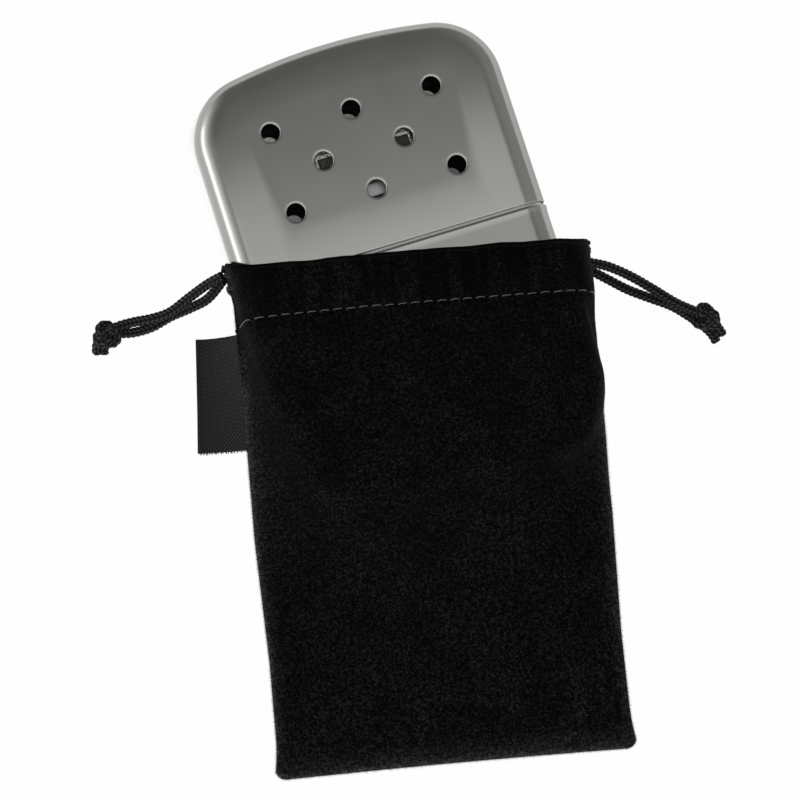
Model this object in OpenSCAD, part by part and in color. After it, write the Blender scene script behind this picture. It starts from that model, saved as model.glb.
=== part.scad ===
// Slip-lid catalytic hand warmer, pushed part-way into its drawstring pouch.
// Millimetres, +Z up. The pouch lies on the plane z = 0 and the warmer's long axis runs along +Y,
// tipped up a little because its underside rides on the pouch's corded hem.

/* [Warmer] */
// Width across the casing
warmer_w = 67; // [64:0.5:72]
// Thickness of the casing
warmer_t = 13; // [12.5:0.25:15]
// Height of the fuel tank, bottom to parting line
tank_h = 53; // [48:1:58]
// Height of the slip lid, parting line to crown
lid_h = 45.8; // [44:0.2:52]
// Radius of the drawn edges
edge_r = 5.4; // [4.5:0.1:6]
// Radius of the casing's corners, seen from the front
corner_r = 14; // [12:0.5:16]
// Radius of the lid's gently crowned top
lid_crown_r = 125; // [110:5:200]
// Radius of the tank's flatter bottom
tank_crown_r = 260; // [200:10:400]
// Thickness of the drawn sheet
sheet_t = 0.5; // [0.4:0.05:0.7]
// Dark gap between the lid's rim and the tank's rim
rim_gap = 0.9; // [0.4:0.1:1.5]

/* [Vents] */
// Radius of a vent hole
vent_r = 1.95; // [1.2:0.05:2.4]
// Distance between vents in a row
vent_pitch_x = 17.6; // [14:0.1:19]
// Distance between rows of vents
vent_pitch_y = 8.8; // [6:0.1:9.5]
// Height of the middle row above the parting line
vent_mid = 20.75; // [18:0.25:23]

/* [Collar and filler mouth] */
// Height of the collar above the parting line, where the lid slips on
collar_h = 5.2; // [4:0.1:6]
// Depth of the collar inside the tank
collar_seat = 6; // [4:0.5:8]
// Clearance of the collar inside the lid and the tank
collar_gap = 0.12; // [0.1:0.01:0.25]
// Width of the filler mouth
mouth_w = 26.8; // [22:0.2:30]
// Thickness of the filler mouth, front to back
mouth_t = 7.4; // [6.4:0.1:7.8]
// Height of the filler mouth above the collar's plate
mouth_h = 4; // [3:0.1:4.2]

/* [Burner] */
// Wall of the burner
burner_wall = 0.4; // [0.3:0.05:0.6]
// Clearance of the burner's skirt round the filler mouth
skirt_gap = 0.35; // [0.3:0.05:0.5]
// Height of the burner above the collar's plate
burner_h = 19.6; // [18:0.2:22]
// Half the width of the burner's window
window_half = 9.9; // [7:0.1:11]
// Window's sill above the burner's skirt edge
window_sill = 4.8; // [4.6:0.1:5]
// Height of the window
window_h = 11.6; // [9:0.1:12]
// Height of the metal band that holds the mat
band_h = 2.6; // [1.5:0.1:3.5]
// Height of the band above the window's sill
band_up = 1.2; // [0.5:0.1:3]

/* [Pouch] */
// Width of the pouch
pouch_w = 76; // [75:0.5:90]
// Length of the pouch
pouch_l = 107; // [98:1:120]
// Thickness of the velvet
fabric_t = 0.8; // [0.6:0.05:1]
// Turn of the pouch from the warmer's axis
pouch_turn = 12.6; // [9:0.1:13]
// Room between the velvet and the warmer
fit_gap = 0.55; // [0.4:0.05:0.8]
// Depth of the drawstring hem
hem_d = 10.6; // [9.5:0.1:13]
// Tip of the warmer, where it rides on the hem
warmer_tip = 4.2; // [4:0.1:5]
// Length of the woven tab along the side seam
tab_l = 24; // [15:0.5:28]
// Width of the woven tab outside the seam
tab_w = 8.6; // [5:0.1:11]
// Thickness of the folded tab
tab_t = 0.7; // [0.5:0.1:1]

/* [Drawstrings] */
// Diameter of the braided cord
cord_d = 2.2; // [1.8:0.1:2.3]
// Distance of the first cord from the mouth's edge
cord_a_v = 2.7; // [2.4:0.1:3]
// Distance of the second cord from the mouth's edge
cord_b_v = 5.5; // [5.4:0.1:6]
// Radius of a stopper knot
knot_r = 3; // [2.6:0.1:3.2]

/* [Hidden] */
$fn = 32;
// Gap between pieces that touch, and how far a cut runs past a face.
seat = 0.05;
over = 1;

// Where things stand along the warmer's own axis, from the middle of the tank.
parting_y = tank_h / 2;
bottom_y = -tank_h / 2;
plate_y = parting_y + collar_h;

// The warmer's own height and the height of its underside where it is tipped.
rest_z = fabric_t + fit_gap;
tip_slope = tan(warmer_tip);
function underside(y) = rest_z + tip_slope * (y - bottom_y);

// Places the warmer's pieces: their own z = 0 is the casing's underside.
module tipped() {
  translate([0, bottom_y, rest_z]) rotate([warmer_tip, 0, 0]) translate([0, -bottom_y, 0]) children();
}

// Half of a flat section with rounded edges, out to radius r from the turning axis.
module half_section(r, t, edge) {
  square([r - edge, t]);
  translate([0, edge]) square([r, t - 2 * edge]);
  translate([r - edge, edge]) circle(edge);
  translate([r - edge, t - edge]) circle(edge);
}

// The casing's full section, across the width.
module full_section(w, t, edge) {
  translate([-w / 2 + edge, 0]) square([w - 2 * edge, t]);
  translate([-w / 2, edge]) square([w, t - 2 * edge]);
  for (side = [-1, 1], z = [edge, t - edge]) translate([side * (w / 2 - edge), z]) circle(edge);
}

// A disc with rounded edges, the tool that draws the casing's corners.
module rounded_disc(r, t, edge) {
  rotate_extrude($fn = 40) half_section(r, t, edge, $fn = 20);
}

// A drawn cup, solid: mouth at y = -past, crowned end at y = h, underside at z = 0.
crown_steps = [-1, -0.34, 0.34, 1];
module drawn_blank(w, t, h, edge, corner, crown, past = 0) {
  lean = asin((w / 2 - corner) / (crown - corner));
  hull() {
    for (step = crown_steps)
      translate([(crown - corner) * sin(step * lean), h - crown + (crown - corner) * cos(step * lean), 0])
        rounded_disc(corner, t, edge);
    rotate([90, 0, 0]) linear_extrude(past + 0.01) full_section(w, t, edge, $fn = 20);
  }
}

// A drawn cup with a wall all round and an open mouth.
module drawn_cup(h, crown) {
  difference() {
    drawn_blank(warmer_w, warmer_t, h, edge_r, corner_r, crown);
    translate([0, 0, sheet_t]) drawn_blank(warmer_w - 2 * sheet_t, warmer_t - 2 * sheet_t, h - sheet_t,
      edge_r - sheet_t, corner_r - sheet_t, crown - sheet_t, over);
  }
}

// Three, two and three vents, staggered.
vents = [for (row = [-1:1], col = (row == 0 ? [-0.5, 0.5] : [-1, 0, 1])) [col, row]];

module lid_shell() {
  color("silver") tipped() difference() {
    translate([0, parting_y, 0]) drawn_cup(lid_h, lid_crown_r);
    for (v = vents)
      translate([v[0] * vent_pitch_x, parting_y + vent_mid + v[1] * vent_pitch_y, -over])
        cylinder(r = vent_r, h = warmer_t + 2 * over);
  }
}

module tank_shell() {
  color("silver") tipped() translate([0, parting_y - rim_gap, 0]) mirror([0, 1, 0])
    drawn_cup(tank_h - rim_gap, tank_crown_r);
}

// The collar: a sleeve inside both rims, closed by a plate that carries the filler mouth.
collar_inset = sheet_t + collar_gap;
collar_w = warmer_w - 2 * collar_inset;
collar_t = warmer_t - 2 * collar_inset;
collar_edge = edge_r - collar_inset;

module oval(w, t) {
  square([w - t, t], center = true);
  for (side = [-1, 1]) translate([side * (w - t) / 2, 0]) circle(t / 2);
}

// Stands a flat outline up along the warmer's axis, from y0 to y1, about the casing's middle.
module along(y0, y1) {
  translate([0, y1, warmer_t / 2]) rotate([90, 0, 0]) linear_extrude(y1 - y0) children();
}

module tank_collar() {
  color("gainsboro") tipped() difference() {
    translate([0, plate_y, collar_inset]) rotate([90, 0, 0]) linear_extrude(collar_h + collar_seat)
      full_section(collar_w, collar_t, collar_edge);
    translate([0, plate_y - sheet_t, collar_inset + sheet_t]) rotate([90, 0, 0])
      linear_extrude(collar_h + collar_seat)
        full_section(collar_w - 2 * sheet_t, collar_t - 2 * sheet_t, collar_edge - sheet_t);
    along(plate_y - 2 * over, plate_y + over) oval(mouth_w + 2 * seat, mouth_t + 2 * seat);
  }
}

// The filler mouth hangs in the collar's plate by a flange, with gauze and a felt pad inside it.
mouth_root = plate_y - 3;
flange_t = 0.5;
flange_out = 1;
gauze_y = plate_y - 1.2;
gauze_t = 0.6;
gauze_hole_r = 0.5;
gauze_pitch = [2.4, 1.8];
loose = 0.1;

module filler_mouth() {
  color("gainsboro") tipped() difference() {
    union() {
      along(mouth_root, plate_y + mouth_h) oval(mouth_w, mouth_t);
      along(plate_y - sheet_t - flange_t, plate_y - sheet_t - seat)
        oval(mouth_w + 2 * flange_out, mouth_t + 2 * flange_out);
    }
    along(mouth_root - over, plate_y + mouth_h + over)
      oval(mouth_w - 2 * burner_wall, mouth_t - 2 * burner_wall);
  }
}

module mouth_gauze() {
  color("darkgray") tipped() difference() {
    along(gauze_y, gauze_y + gauze_t)
      oval(mouth_w - 2 * (burner_wall + loose), mouth_t - 2 * (burner_wall + loose));
    for (i = [-4:4], k = [-1, 0, 1])
      along(gauze_y - over, gauze_y + gauze_t + over)
        translate([i * gauze_pitch[0], k * gauze_pitch[1]]) circle(gauze_hole_r);
  }
}

module wick_felt() {
  color("ivory") tipped()
    along(mouth_root + 2 * loose, gauze_y - loose)
      oval(mouth_w - 2 * burner_wall - 6 * loose, mouth_t - 2 * burner_wall - 6 * loose);
}

// Cotton fills the tank, narrows inside the collar's sleeve and meets the felt.
cotton_gap = 0.4;
cotton_inset = sheet_t + cotton_gap;
cotton_top = mouth_root - 2 * loose;
cotton_neck = 2;

module cotton_wadding() {
  color("white") tipped() {
    translate([0, parting_y - collar_seat - cotton_gap, cotton_inset]) mirror([0, 1, 0])
      drawn_blank(warmer_w - 2 * cotton_inset, warmer_t - 2 * cotton_inset,
        tank_h - collar_seat - sheet_t - 2 * cotton_gap, edge_r - cotton_inset,
        corner_r - cotton_inset, tank_crown_r - cotton_inset);
    translate([0, cotton_top, collar_inset + cotton_inset]) rotate([90, 0, 0])
      linear_extrude(cotton_top - parting_y + collar_seat + cotton_neck)
        full_section(collar_w - 2 * cotton_inset, collar_t - 2 * cotton_inset, collar_edge - cotton_inset);
  }
}

// The burner: a stamped cap whose skirt grips the filler mouth, with a window on both faces.
burner_w = mouth_w + 2 * (skirt_gap + burner_wall);
burner_t = mouth_t + 2 * (skirt_gap + burner_wall);
skirt_y = plate_y + 0.3;
shoulder_y = plate_y + burner_h - burner_t / 4;
sill_y = skirt_y + window_sill;
mat_w = burner_w - 2 * burner_wall - 0.8;
mat_t = burner_t - 2 * burner_wall - 2;
band_t = 0.4;
air_hole_r = 0.6;
air_hole_out = 2;

module burner_housing() {
  color("lightgray") tipped() difference() {
    union() {
      along(skirt_y, shoulder_y) oval(burner_w, burner_t);
      along(skirt_y, plate_y + burner_h) oval(burner_w - burner_t / 4, burner_t - burner_t / 4);
    }
    along(skirt_y - over, shoulder_y - burner_wall)
      oval(burner_w - 2 * burner_wall, burner_t - 2 * burner_wall);
    translate([-window_half, sill_y, -over]) cube([2 * window_half, window_h, warmer_t + 2 * over]);
    for (side = [-1, 1])
      translate([side * (window_half + air_hole_out), sill_y + window_h / 2, -over])
        cylinder(r = air_hole_r, h = warmer_t + 2 * over);
  }
}

mat_y0 = plate_y + mouth_h + 0.9;
mat_y1 = shoulder_y - burner_wall - loose;

module catalyst_mat() {
  color("dimgray") tipped() along(mat_y0, mat_y1)
    oval(mat_w - 2 * (band_t + seat), mat_t - 2 * (band_t + seat));
}

// A bright band round the mat, seen through the window.
module mat_band() {
  color("silver") tipped() difference() {
    along(sill_y + band_up, sill_y + band_up + band_h) oval(mat_w, mat_t);
    along(sill_y + band_up - over, sill_y + band_up + band_h + over)
      oval(mat_w - 2 * band_t, mat_t - 2 * band_t);
  }
}

// ---- The pouch. A place in it is u across and v down from its mouth.
mouth_at = [3.8, parting_y - 1.2];
across = [cos(pouch_turn), -sin(pouch_turn)];
down = [-sin(pouch_turn), -cos(pouch_turn)];
function pouch_at(u, v) = mouth_at + u * across + v * down;

// Distance outside the line where the casing's upper face turns into its edge. The tip moves that
// line down the pouch a little.
core_corner = corner_r - edge_r;
core_half = warmer_w / 2 - edge_r;
core_low = bottom_y + edge_r - tip_slope * (warmer_t - edge_r);
function outside(p) =
  let (x = abs(p[0]) - (core_half - core_corner), y = (core_low + core_corner) - p[1])
  norm([max(x, 0), max(y, 0)]) + min(max(x, y), 0) - core_corner;

// Heights of the warmer's rounded edge at a place along it.
function edge_top(y) = underside(y) + warmer_t - edge_r;
function edge_low(y) = underside(y) + edge_r;
wrap_r = edge_r + fit_gap + fabric_t;

// The pouch's outline: two sides, a bottom with small corners, pushed out where the warmer fills it.
outline_corner = 5;
side_steps = [0, 1, 2.6, 4.1, 5.5, 7.2, 9, hem_d, hem_d + 1.6, 16, 20, 25, 30, 32.5, 35, 37.5, 40, 43, 46,
  49, 53, 57, 61, 65, 70, 75, 80, 90, 97, pouch_l - outline_corner];
corner_steps = [22.5, 45, 67.5];
bottom_steps = [-0.85, -0.6, -0.3, 0, 0.3, 0.6, 0.85];
inner_half = pouch_w / 2 - outline_corner;
left_outline = [for (v = side_steps) [-pouch_w / 2, v]];
left_corner = [for (a = corner_steps)
  [-inner_half - outline_corner * cos(a), pouch_l - outline_corner + outline_corner * sin(a)]];
bottom_outline = [for (s = bottom_steps) [s * inner_half / 0.85, pouch_l - 0.6 * cos(s * 100)]];
function flip(list) = [for (i = [len(list) - 1:-1:0]) [-list[i][0], list[i][1]]];
flat_outline = concat(left_outline, left_corner, bottom_outline, flip(left_corner), flip(left_outline));

hug_r = wrap_r + 0.35;
function pushed(uv) =
  let (p = pouch_at(uv[0], uv[1]), s = outside(p), room = max(0, hug_r - s),
    shove = uv[0] < 0 ? -room : room)
  uv[1] > 70 ? p : p + shove * [1, 0];
rim = [for (uv = flat_outline) pushed(uv)];
rim_s = [for (p = rim) outside(p)];
rim_n = len(rim);

// Height of the side seam: half-way up the warmer where it is close, on the floor where it isn't.
seam_floor = fabric_t + 0.1;
seam_z = [for (i = [0:rim_n - 1])
  let (fill = exp(-pow((rim_s[i] - wrap_r) / 6, 2)), mid = underside(rim[i][1]) + warmer_t / 2)
  seam_floor + 0.5 * fill * (mid - seam_floor)];

// The hem's two layers swell over the cords, between the fold at the mouth and the stitches.
function swell(v) = v >= hem_d ? 0 : pow(sin(180 * pow(v / hem_d, 0.72)), 0.6);
function hem_lift(v) = v > hem_d + 1.5 ? 0
  : v > hem_d ? (fabric_t + seat) * 0.5
  : fabric_t + seat + (cord_d + 0.25) * swell(v);

// Rays run from a spine on top of the warmer out to the rim.
spine_v = 40;
spine = [for (uv = flat_outline) pouch_at(0, min(uv[1], spine_v))];
spine_s = [for (p = spine) outside(p)];

// Angle at which the velvet leaves the warmer's edge: steep where the seam is near.
function leave(i) = min(84, 40 + 50 * exp(-(rim_s[i] - wrap_r) / 11));

// Samples along a ray: over the flat back, round the edge, and out to the seam.
front_steps = [[0, 0.6, 1], [0.25, 0.5, 0.75, 1], [0.1, 0.28, 0.5, 0.75, 1]];
back_steps = [[0, 0.8, 1], [0.4, 0.75, 1], [0.3, 0.65, 1]];

// Where along ray i the samples fall, as distances outside the edge line.
function ray_s(i, steps) =
  let (s0 = spine_s[i], s_leave = wrap_r * sin(leave(i)), s1 = rim_s[i])
  concat([for (f = steps[0]) s0 * (1 - f)],
    [for (a = steps[1]) wrap_r * sin(a * leave(i))],
    [for (t = steps[2]) s_leave + (s1 - s_leave) * t]);
function ray_point(i, s) = spine[i] + (rim[i] - spine[i]) * (s - spine_s[i]) / (rim_s[i] - spine_s[i]);
function fan_of(steps) = [for (i = [0:rim_n - 1], s = ray_s(i, steps)) [i, ray_point(i, s)]];

// Height of the front panel over a place on ray i, for a wrap radius r and a seam height z1.
function drape_z(i, p, r, lift, z1) =
  let (s = outside(p), top = edge_top(p[1]), out = leave(i), s_leave = r * sin(out),
    z_leave = top + r * cos(out), fade = max(0, 1 - max(0, s) / (wrap_r + 3)))
  s <= 0 ? top + r + lift
  : s < s_leave ? top + sqrt(r * r - s * s) + lift * sqrt(fade)
  : let (t = min(1, (s - s_leave) / max(0.01, rim_s[i] - s_leave)),
      power = max(1, tan(out) * (rim_s[i] - s_leave) / (z_leave - z1)))
    z1 + (z_leave - z1) * pow(1 - t, power) + lift * sqrt(fade) * (1 - t);

// Height of the back panel under a place on ray i.
function back_z(i, p) =
  let (s = outside(p), s1 = rim_s[i], s0 = s1 - 12, t = max(0, (s - s0) / (s1 - s0)),
    low = edge_low(p[1]), hug = abs(s) < wrap_r && s > 0 ? low - sqrt(wrap_r * wrap_r - s * s)
      : s > 0 ? low : low - wrap_r)
  min((seam_z[i] - seam_floor) * pow(t, 2.2), max(0, hug));

// Faces and edge of one skin over the fan of rays, each with n samples.
function fan_faces(n) = [for (i = [0:rim_n - 2], k = [0:n - 2], half = [0, 1])
  let (a = i * n + k, b = a + 1, c = b + n, d = a + n,
    same = k == 0 && norm(spine[i] - spine[i + 1]) < 0.001)
  if (!(same && half == 1)) half == 0 ? [a, b, c] : [a, c, d]];
function fan_edge(n) = concat([for (i = [0:rim_n - 1]) i * n + n - 1],
  [for (k = [n - 2:-1:0]) (rim_n - 1) * n + k], [for (k = [1:n - 2]) k]);

// One closed piece of cloth between an upper and a lower skin.
module cloth(upper, lower, faces, edge) {
  n = len(upper);
  m = len(edge);
  polyhedron(points = concat(upper, lower), faces = concat(
    [for (f = faces) [f[2], f[1], f[0]]],
    [for (f = faces) [f[0] + n, f[1] + n, f[2] + n]],
    [for (j = [0:m - 1]) let (a = edge[j], b = edge[(j + 1) % m]) [a, b, b + n]],
    [for (j = [0:m - 1]) let (a = edge[j], b = edge[(j + 1) % m]) [a, b + n, a + n]]));
}

module pouch_front() {
  fan = fan_of(front_steps);
  n = len(fan) / rim_n;
  upper = [for (q = fan) let (i = q[0], p = q[1])
    [p[0], p[1], drape_z(i, p, wrap_r, hem_lift(flat_outline[i][1]), seam_z[i] + fabric_t)]];
  lower = [for (q = fan) let (i = q[0], p = q[1])
    [p[0], p[1], drape_z(i, p, wrap_r - fabric_t, hem_lift(flat_outline[i][1]), seam_z[i])]];
  color("black") cloth(upper, lower, fan_faces(n), fan_edge(n));
}

module pouch_back() {
  fan = fan_of(back_steps);
  n = len(fan) / rim_n;
  lower = [for (q = fan) [q[1][0], q[1][1], back_z(q[0], q[1])]];
  upper = [for (p = lower) p + [0, 0, fabric_t]];
  color("black") cloth(upper, lower, fan_faces(n), fan_edge(n));
}

// The hem's inner layers: strips of cloth between the cords and the warmer.
function hem_y(x, v) = mouth_at[1] - tan(pouch_turn) * (x - mouth_at[0]) - v / cos(pouch_turn);
front_lining_half = core_half - 1.6;
back_lining_half = core_half - 5.4;
lining_steps = 4;
lining_v = [0, 0.08, 0.25, 0.5, 0.75, 0.92, 1];

module hem_strip(half, base, lift) {
  grid = [for (i = [-lining_steps:lining_steps], f = lining_v)
    let (x = i * half / lining_steps) [x, hem_y(x, f * hem_d), f]];
  n = len(lining_v);
  m = 2 * lining_steps + 1;
  lower = [for (g = grid) [g[0], g[1], base(g[1]) + lift(g[2])]];
  upper = [for (p = lower) p + [0, 0, fabric_t]];
  faces = [for (i = [0:m - 2], k = [0:n - 2], half = [0, 1])
    let (a = i * n + k) half == 0 ? [a + 1, a, a + n] : [a + 1, a + n, a + n + 1]];
  edge = concat([for (k = [n - 1:-1:0]) k], [for (i = [1:m - 1]) i * n],
    [for (k = [1:n - 1]) (m - 1) * n + k], [for (i = [m - 2:-1:1]) i * n + n - 1]);
  color("black") cloth(upper, lower, faces, edge);
}

module front_hem_lining() {
  hem_strip(front_lining_half, function(y) edge_top(y) + wrap_r - fabric_t, function(f) 0);
}

cord_r = cord_d / 2;
back_lift = cord_d + 5 * seat;
module back_hem_lining() {
  hem_strip(back_lining_half, function(y) fabric_t + seat,
    function(f) f > 0.9 || f < 0.05 ? 0 : back_lift * swell(f * hem_d));
}

// A round cord swept along a list of places, with rings square to its run.
cord_sides = 8;
module swept_cord(route, up) {
  n = len(route);
  ring = [for (i = [0:n - 1])
    let (t = route[min(i + 1, n - 1)] - route[max(i - 1, 0)], a = cross(t, up) / norm(cross(t, up)),
      b = cross(a, t) / norm(t))
    for (k = [0:cord_sides - 1]) let (w = 360 * k / cord_sides)
      route[i] + cord_r * (a * cos(w) + b * sin(w))];
  color("black") polyhedron(points = ring, faces = concat(
    [[for (k = [0:cord_sides - 1]) k]],
    [[for (k = [cord_sides - 1:-1:0]) (n - 1) * cord_sides + k]],
    [for (i = [0:n - 2], k = [0:cord_sides - 1], half = [0, 1])
      let (a = i * cord_sides + k, b = i * cord_sides + (k + 1) % cord_sides)
      half == 0 ? [a, a + cord_sides, b] : [b, a + cord_sides, b + cord_sides]]));
}

// Rounds a route off: points on the smooth curve through the given ones.
function bend(p, i, t) =
  let (a = p[max(i - 1, 0)], b = p[i], c = p[i + 1], d = p[min(i + 2, len(p) - 1)])
  0.5 * (2 * b + (c - a) * t + (2 * a - 5 * b + 4 * c - d) * t * t + (3 * b - a - 3 * c + d) * t * t * t);
function smooth_route(p, steps) =
  concat([for (i = [0:len(p) - 2], k = [0:steps - 1]) bend(p, i, k / steps)], [p[len(p) - 1]]);

// A drawstring inside the hem: over the front, out through the far side seam, and back underneath.
over_r = wrap_r + 2 * seat + cord_r;
side_r = edge_r + 0.4 + cord_r;
function over_front(x, v) = let (y = hem_y(x, v)) [x, y, edge_top(y) + over_r];
function round_edge(side, v, a) =
  let (r = over_r + (side_r - over_r) * a / 90, x = side * (core_half + r * sin(a)), y = hem_y(x, v))
  [x, y, edge_top(y) + r * cos(a)];
function under_back(x, v) = [x, hem_y(x, v), fabric_t + seat + cord_r];
function beside(side, v, s, z) =
  let (x = side * (core_half + s)) [x, hem_y(x, v), z];

left_top_z = edge_top(hem_y(-core_half, cord_b_v));
function front_run(v) = concat([for (a = [70, 40, 15]) round_edge(-1, v, a)],
  [for (x = [-0.8:0.4:0.8]) over_front(x * core_half, v)], [for (a = [15, 40, 70]) round_edge(1, v, a)]);
function back_run(v) = concat([beside(1, v, 9, 3.2)], [for (x = [1.1:-0.44:-0.7]) under_back(x * core_half, v)],
  [beside(-1, v, -2, 2.2), beside(-1, v, 3.6, 3.8), beside(-1, v, 6.2, 6.6)]);
first_route = concat([round_edge(-1, cord_a_v, 88)], front_run(cord_a_v),
  [beside(1, cord_a_v, 10, 8), beside(1, cord_a_v, 13.4, 5.4), beside(1, cord_a_v, 12.6, 3)],
  back_run(cord_a_v), [beside(-1, cord_a_v, 7.3, 8.6)]);
second_route = concat([beside(1, cord_b_v, 11.4, 6.6), beside(1, cord_b_v, 9.4, 9)],
  flip_list(front_run(cord_b_v)),
  [beside(-1, cord_b_v, 8, left_top_z - 1), beside(-1, cord_b_v, 8.2, left_top_z - 3)],
  flip_list(back_run(cord_b_v)), [beside(1, cord_b_v, 11.4, 3)]);
function flip_list(list) = [for (i = [len(list) - 1:-1:0]) list[i]];

module first_cord_run() { swept_cord(smooth_route(first_route, 2), [0, 1, 0]); }
module second_cord_run() { swept_cord(smooth_route(second_route, 2), [0, 1, 0]); }

// The free strands, from the hem's ends through the stopper knots to their cut tails.
left_front_route = [[-35.5, 31.2, 11], [-39, 30.9, 9], [-43.4, 29.9, 6.4], [-48, 28.6, 4.4],
  [-52, 28.6, 3.5], [-56, 29, 2.8], [-59.5, 28.3, 3.4], [-62.6, 27, 3.6], [-64.8, 25, 2.4], [-65.6, 22.8, 1.2]];
left_back_route = [[-35.6, 31, 8], [-39.6, 28.9, 5], [-43.6, 28.6, 2.6], [-48, 28.4, 1.2],
  [-52.4, 27.4, 1.2], [-56.4, 26.9, 1.2], [-60, 26.8, 2.2], [-62.4, 25.8, 2.4], [-63.4, 24, 1.8],
  [-64, 22.4, 1.2]];
right_front_route = [[39.6, 12, 6.6], [43.4, 10.2, 5.4], [47.6, 7, 4], [51.4, 3, 3.4], [54.6, -0.8, 3.4],
  [57.4, -3.4, 3.4], [60, -5.6, 3.8], [61.6, -8, 3], [62.8, -10.4, 1.2]];
right_back_route = [[39.6, 11.4, 3], [43, 8.4, 1.8], [46.6, 5, 1.2], [50.6, 1.8, 1.2], [54.4, -1.2, 1.2],
  [57.2, -4.4, 1.2], [59, -7, 1.8], [60.4, -9.4, 1.6], [61, -11.6, 1.2]];

module left_cord_front() { swept_cord(left_front_route, [0, 0, 1]); }
module left_cord_back() { swept_cord(left_back_route, [0, 0, 1]); }
module right_cord_front() { swept_cord(right_front_route, [0, 0, 1]); }
module right_cord_back() { swept_cord(right_back_route, [0, 0, 1]); }

// A stopper knot: a tight lump with two turns of cord round it.
module knot(at, heading) {
  turn_r = knot_r - cord_r;
  color("black") translate(at) rotate([0, 0, heading]) {
    sphere(knot_r * 0.8);
    rotate([0, 62, 0]) rotate_extrude() translate([turn_r, 0]) circle(cord_r);
    rotate([50, -28, 0]) rotate_extrude() translate([turn_r, 0]) circle(cord_r);
  }
}
module left_knot() { knot([-62.1, 26.8, knot_r + 0.1], 200); }
module right_knot() { knot([60, -6, knot_r + 0.1], -45); }

// The woven tab: a folded ribbon in the side seam, drooping to the surface.
tab_v = 14.5;
tab_across = [0, 0.35, 0.7, 1];
tab_along = [0, 0.25, 0.5, 0.75, 1];
module label_tab() {
  grid = [for (f = tab_along, g = tab_across)
    let (root = pushed([-pouch_w / 2, tab_v + f * tab_l]), s = outside(root),
      fill = exp(-pow((s - wrap_r) / 6, 2)), mid = underside(root[1]) + warmer_t / 2,
      z0 = seam_floor + 0.5 * fill * (mid - seam_floor) - tab_t / 2, p = root - (0.15 + g * tab_w) * across)
    [p[0], p[1], max(0.05, z0 * pow(1 - g, 1.6))]];
  n = len(tab_across);
  m = len(tab_along);
  upper = [for (p = grid) p + [0, 0, tab_t]];
  faces = [for (i = [0:m - 2], k = [0:n - 2], half = [0, 1])
    let (a = i * n + k) half == 0 ? [a, a + 1, a + n] : [a + 1, a + n + 1, a + n]];
  edge = concat([for (k = [0:n - 1]) k], [for (i = [1:m - 1]) i * n + n - 1],
    [for (k = [n - 2:-1:0]) (m - 1) * n + k], [for (i = [m - 2:-1:1]) i * n]);
  color("black") cloth(upper, grid, faces, edge);
}

lid_shell();
tank_shell();
tank_collar();
filler_mouth();
mouth_gauze();
wick_felt();
cotton_wadding();
burner_housing();
catalyst_mat();
mat_band();
pouch_back();
pouch_front();
back_hem_lining();
front_hem_lining();
label_tab();
first_cord_run();
second_cord_run();
left_cord_front();
left_cord_back();
right_cord_front();
right_cord_back();
left_knot();
right_knot();
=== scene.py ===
# %% [markdown]
# # A pocket hand warmer in its velvet pouch
#
# The object is a catalytic hand warmer: a fuel tank and a slip lid, both drawn from thin sheet metal and
# finished in satin chrome, pushed part-way into a black velvet pouch with two braided drawstrings.
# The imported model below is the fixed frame. Everything is in metres there, and this lesson writes its
# sizes in millimetres, times MM.

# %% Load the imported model
from math import asin, cos, exp, floor, pi, radians, sin, sqrt, tan

import bmesh
import bpy
from mathutils import Matrix, Vector, noise
from mathutils.bvhtree import BVHTree


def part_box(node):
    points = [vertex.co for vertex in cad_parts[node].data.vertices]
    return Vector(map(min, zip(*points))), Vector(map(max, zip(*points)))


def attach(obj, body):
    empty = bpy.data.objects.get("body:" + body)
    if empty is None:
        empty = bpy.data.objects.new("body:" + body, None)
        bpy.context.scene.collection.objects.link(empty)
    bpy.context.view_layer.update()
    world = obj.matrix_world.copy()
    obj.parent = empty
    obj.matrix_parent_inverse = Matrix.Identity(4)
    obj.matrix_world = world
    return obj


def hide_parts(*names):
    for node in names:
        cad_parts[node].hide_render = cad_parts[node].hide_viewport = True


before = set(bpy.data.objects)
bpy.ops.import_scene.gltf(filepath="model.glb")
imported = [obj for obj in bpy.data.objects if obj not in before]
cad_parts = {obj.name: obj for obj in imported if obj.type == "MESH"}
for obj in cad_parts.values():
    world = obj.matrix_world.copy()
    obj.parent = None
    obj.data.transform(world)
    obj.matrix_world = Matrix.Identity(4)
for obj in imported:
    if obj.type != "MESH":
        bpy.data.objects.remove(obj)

MM = 0.001
scene = bpy.context.scene
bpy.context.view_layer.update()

# %% [markdown]
# ## The camera
#
# The photograph looks down on the warmer from 60 cm with a long lens, a little from the left and from
# the pouch's end. The lens, the place and the roll come from the vents' known pitch: eight holes in a
# plane fix a camera well. A long lens keeps the outline of such a flat object nearly free of
# perspective, so 131 mm on a 36 mm sensor is used and not a shorter lens from nearer by.

# %% Set the camera
LENS_MM = 131.3
CAMERA_PLACE = Vector((-73.9, -114.7, 602.8)) * MM
CAMERA_AIM = Vector((-8.3, -4.9, 10.0)) * MM
CAMERA_ROLL = radians(18.3)

forward = (CAMERA_AIM - CAMERA_PLACE).normalized()
level_up = (Vector((0, 1, 0)) - forward * forward.y).normalized()
level_right = forward.cross(level_up)
camera_up = level_up * cos(CAMERA_ROLL) + level_right * sin(CAMERA_ROLL)
camera_right = forward.cross(camera_up)
turn = Matrix((camera_right, camera_up, -forward)).transposed().to_4x4()
camera = bpy.data.objects.new("camera", bpy.data.cameras.new("camera"))
camera.data.lens = LENS_MM
camera.data.sensor_width = 36
camera.matrix_world = Matrix.Translation(CAMERA_PLACE) @ turn
scene.collection.objects.link(camera)
scene.camera = camera
print("camera is", round((CAMERA_AIM - CAMERA_PLACE).length, 3), "m from its aim")

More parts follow.
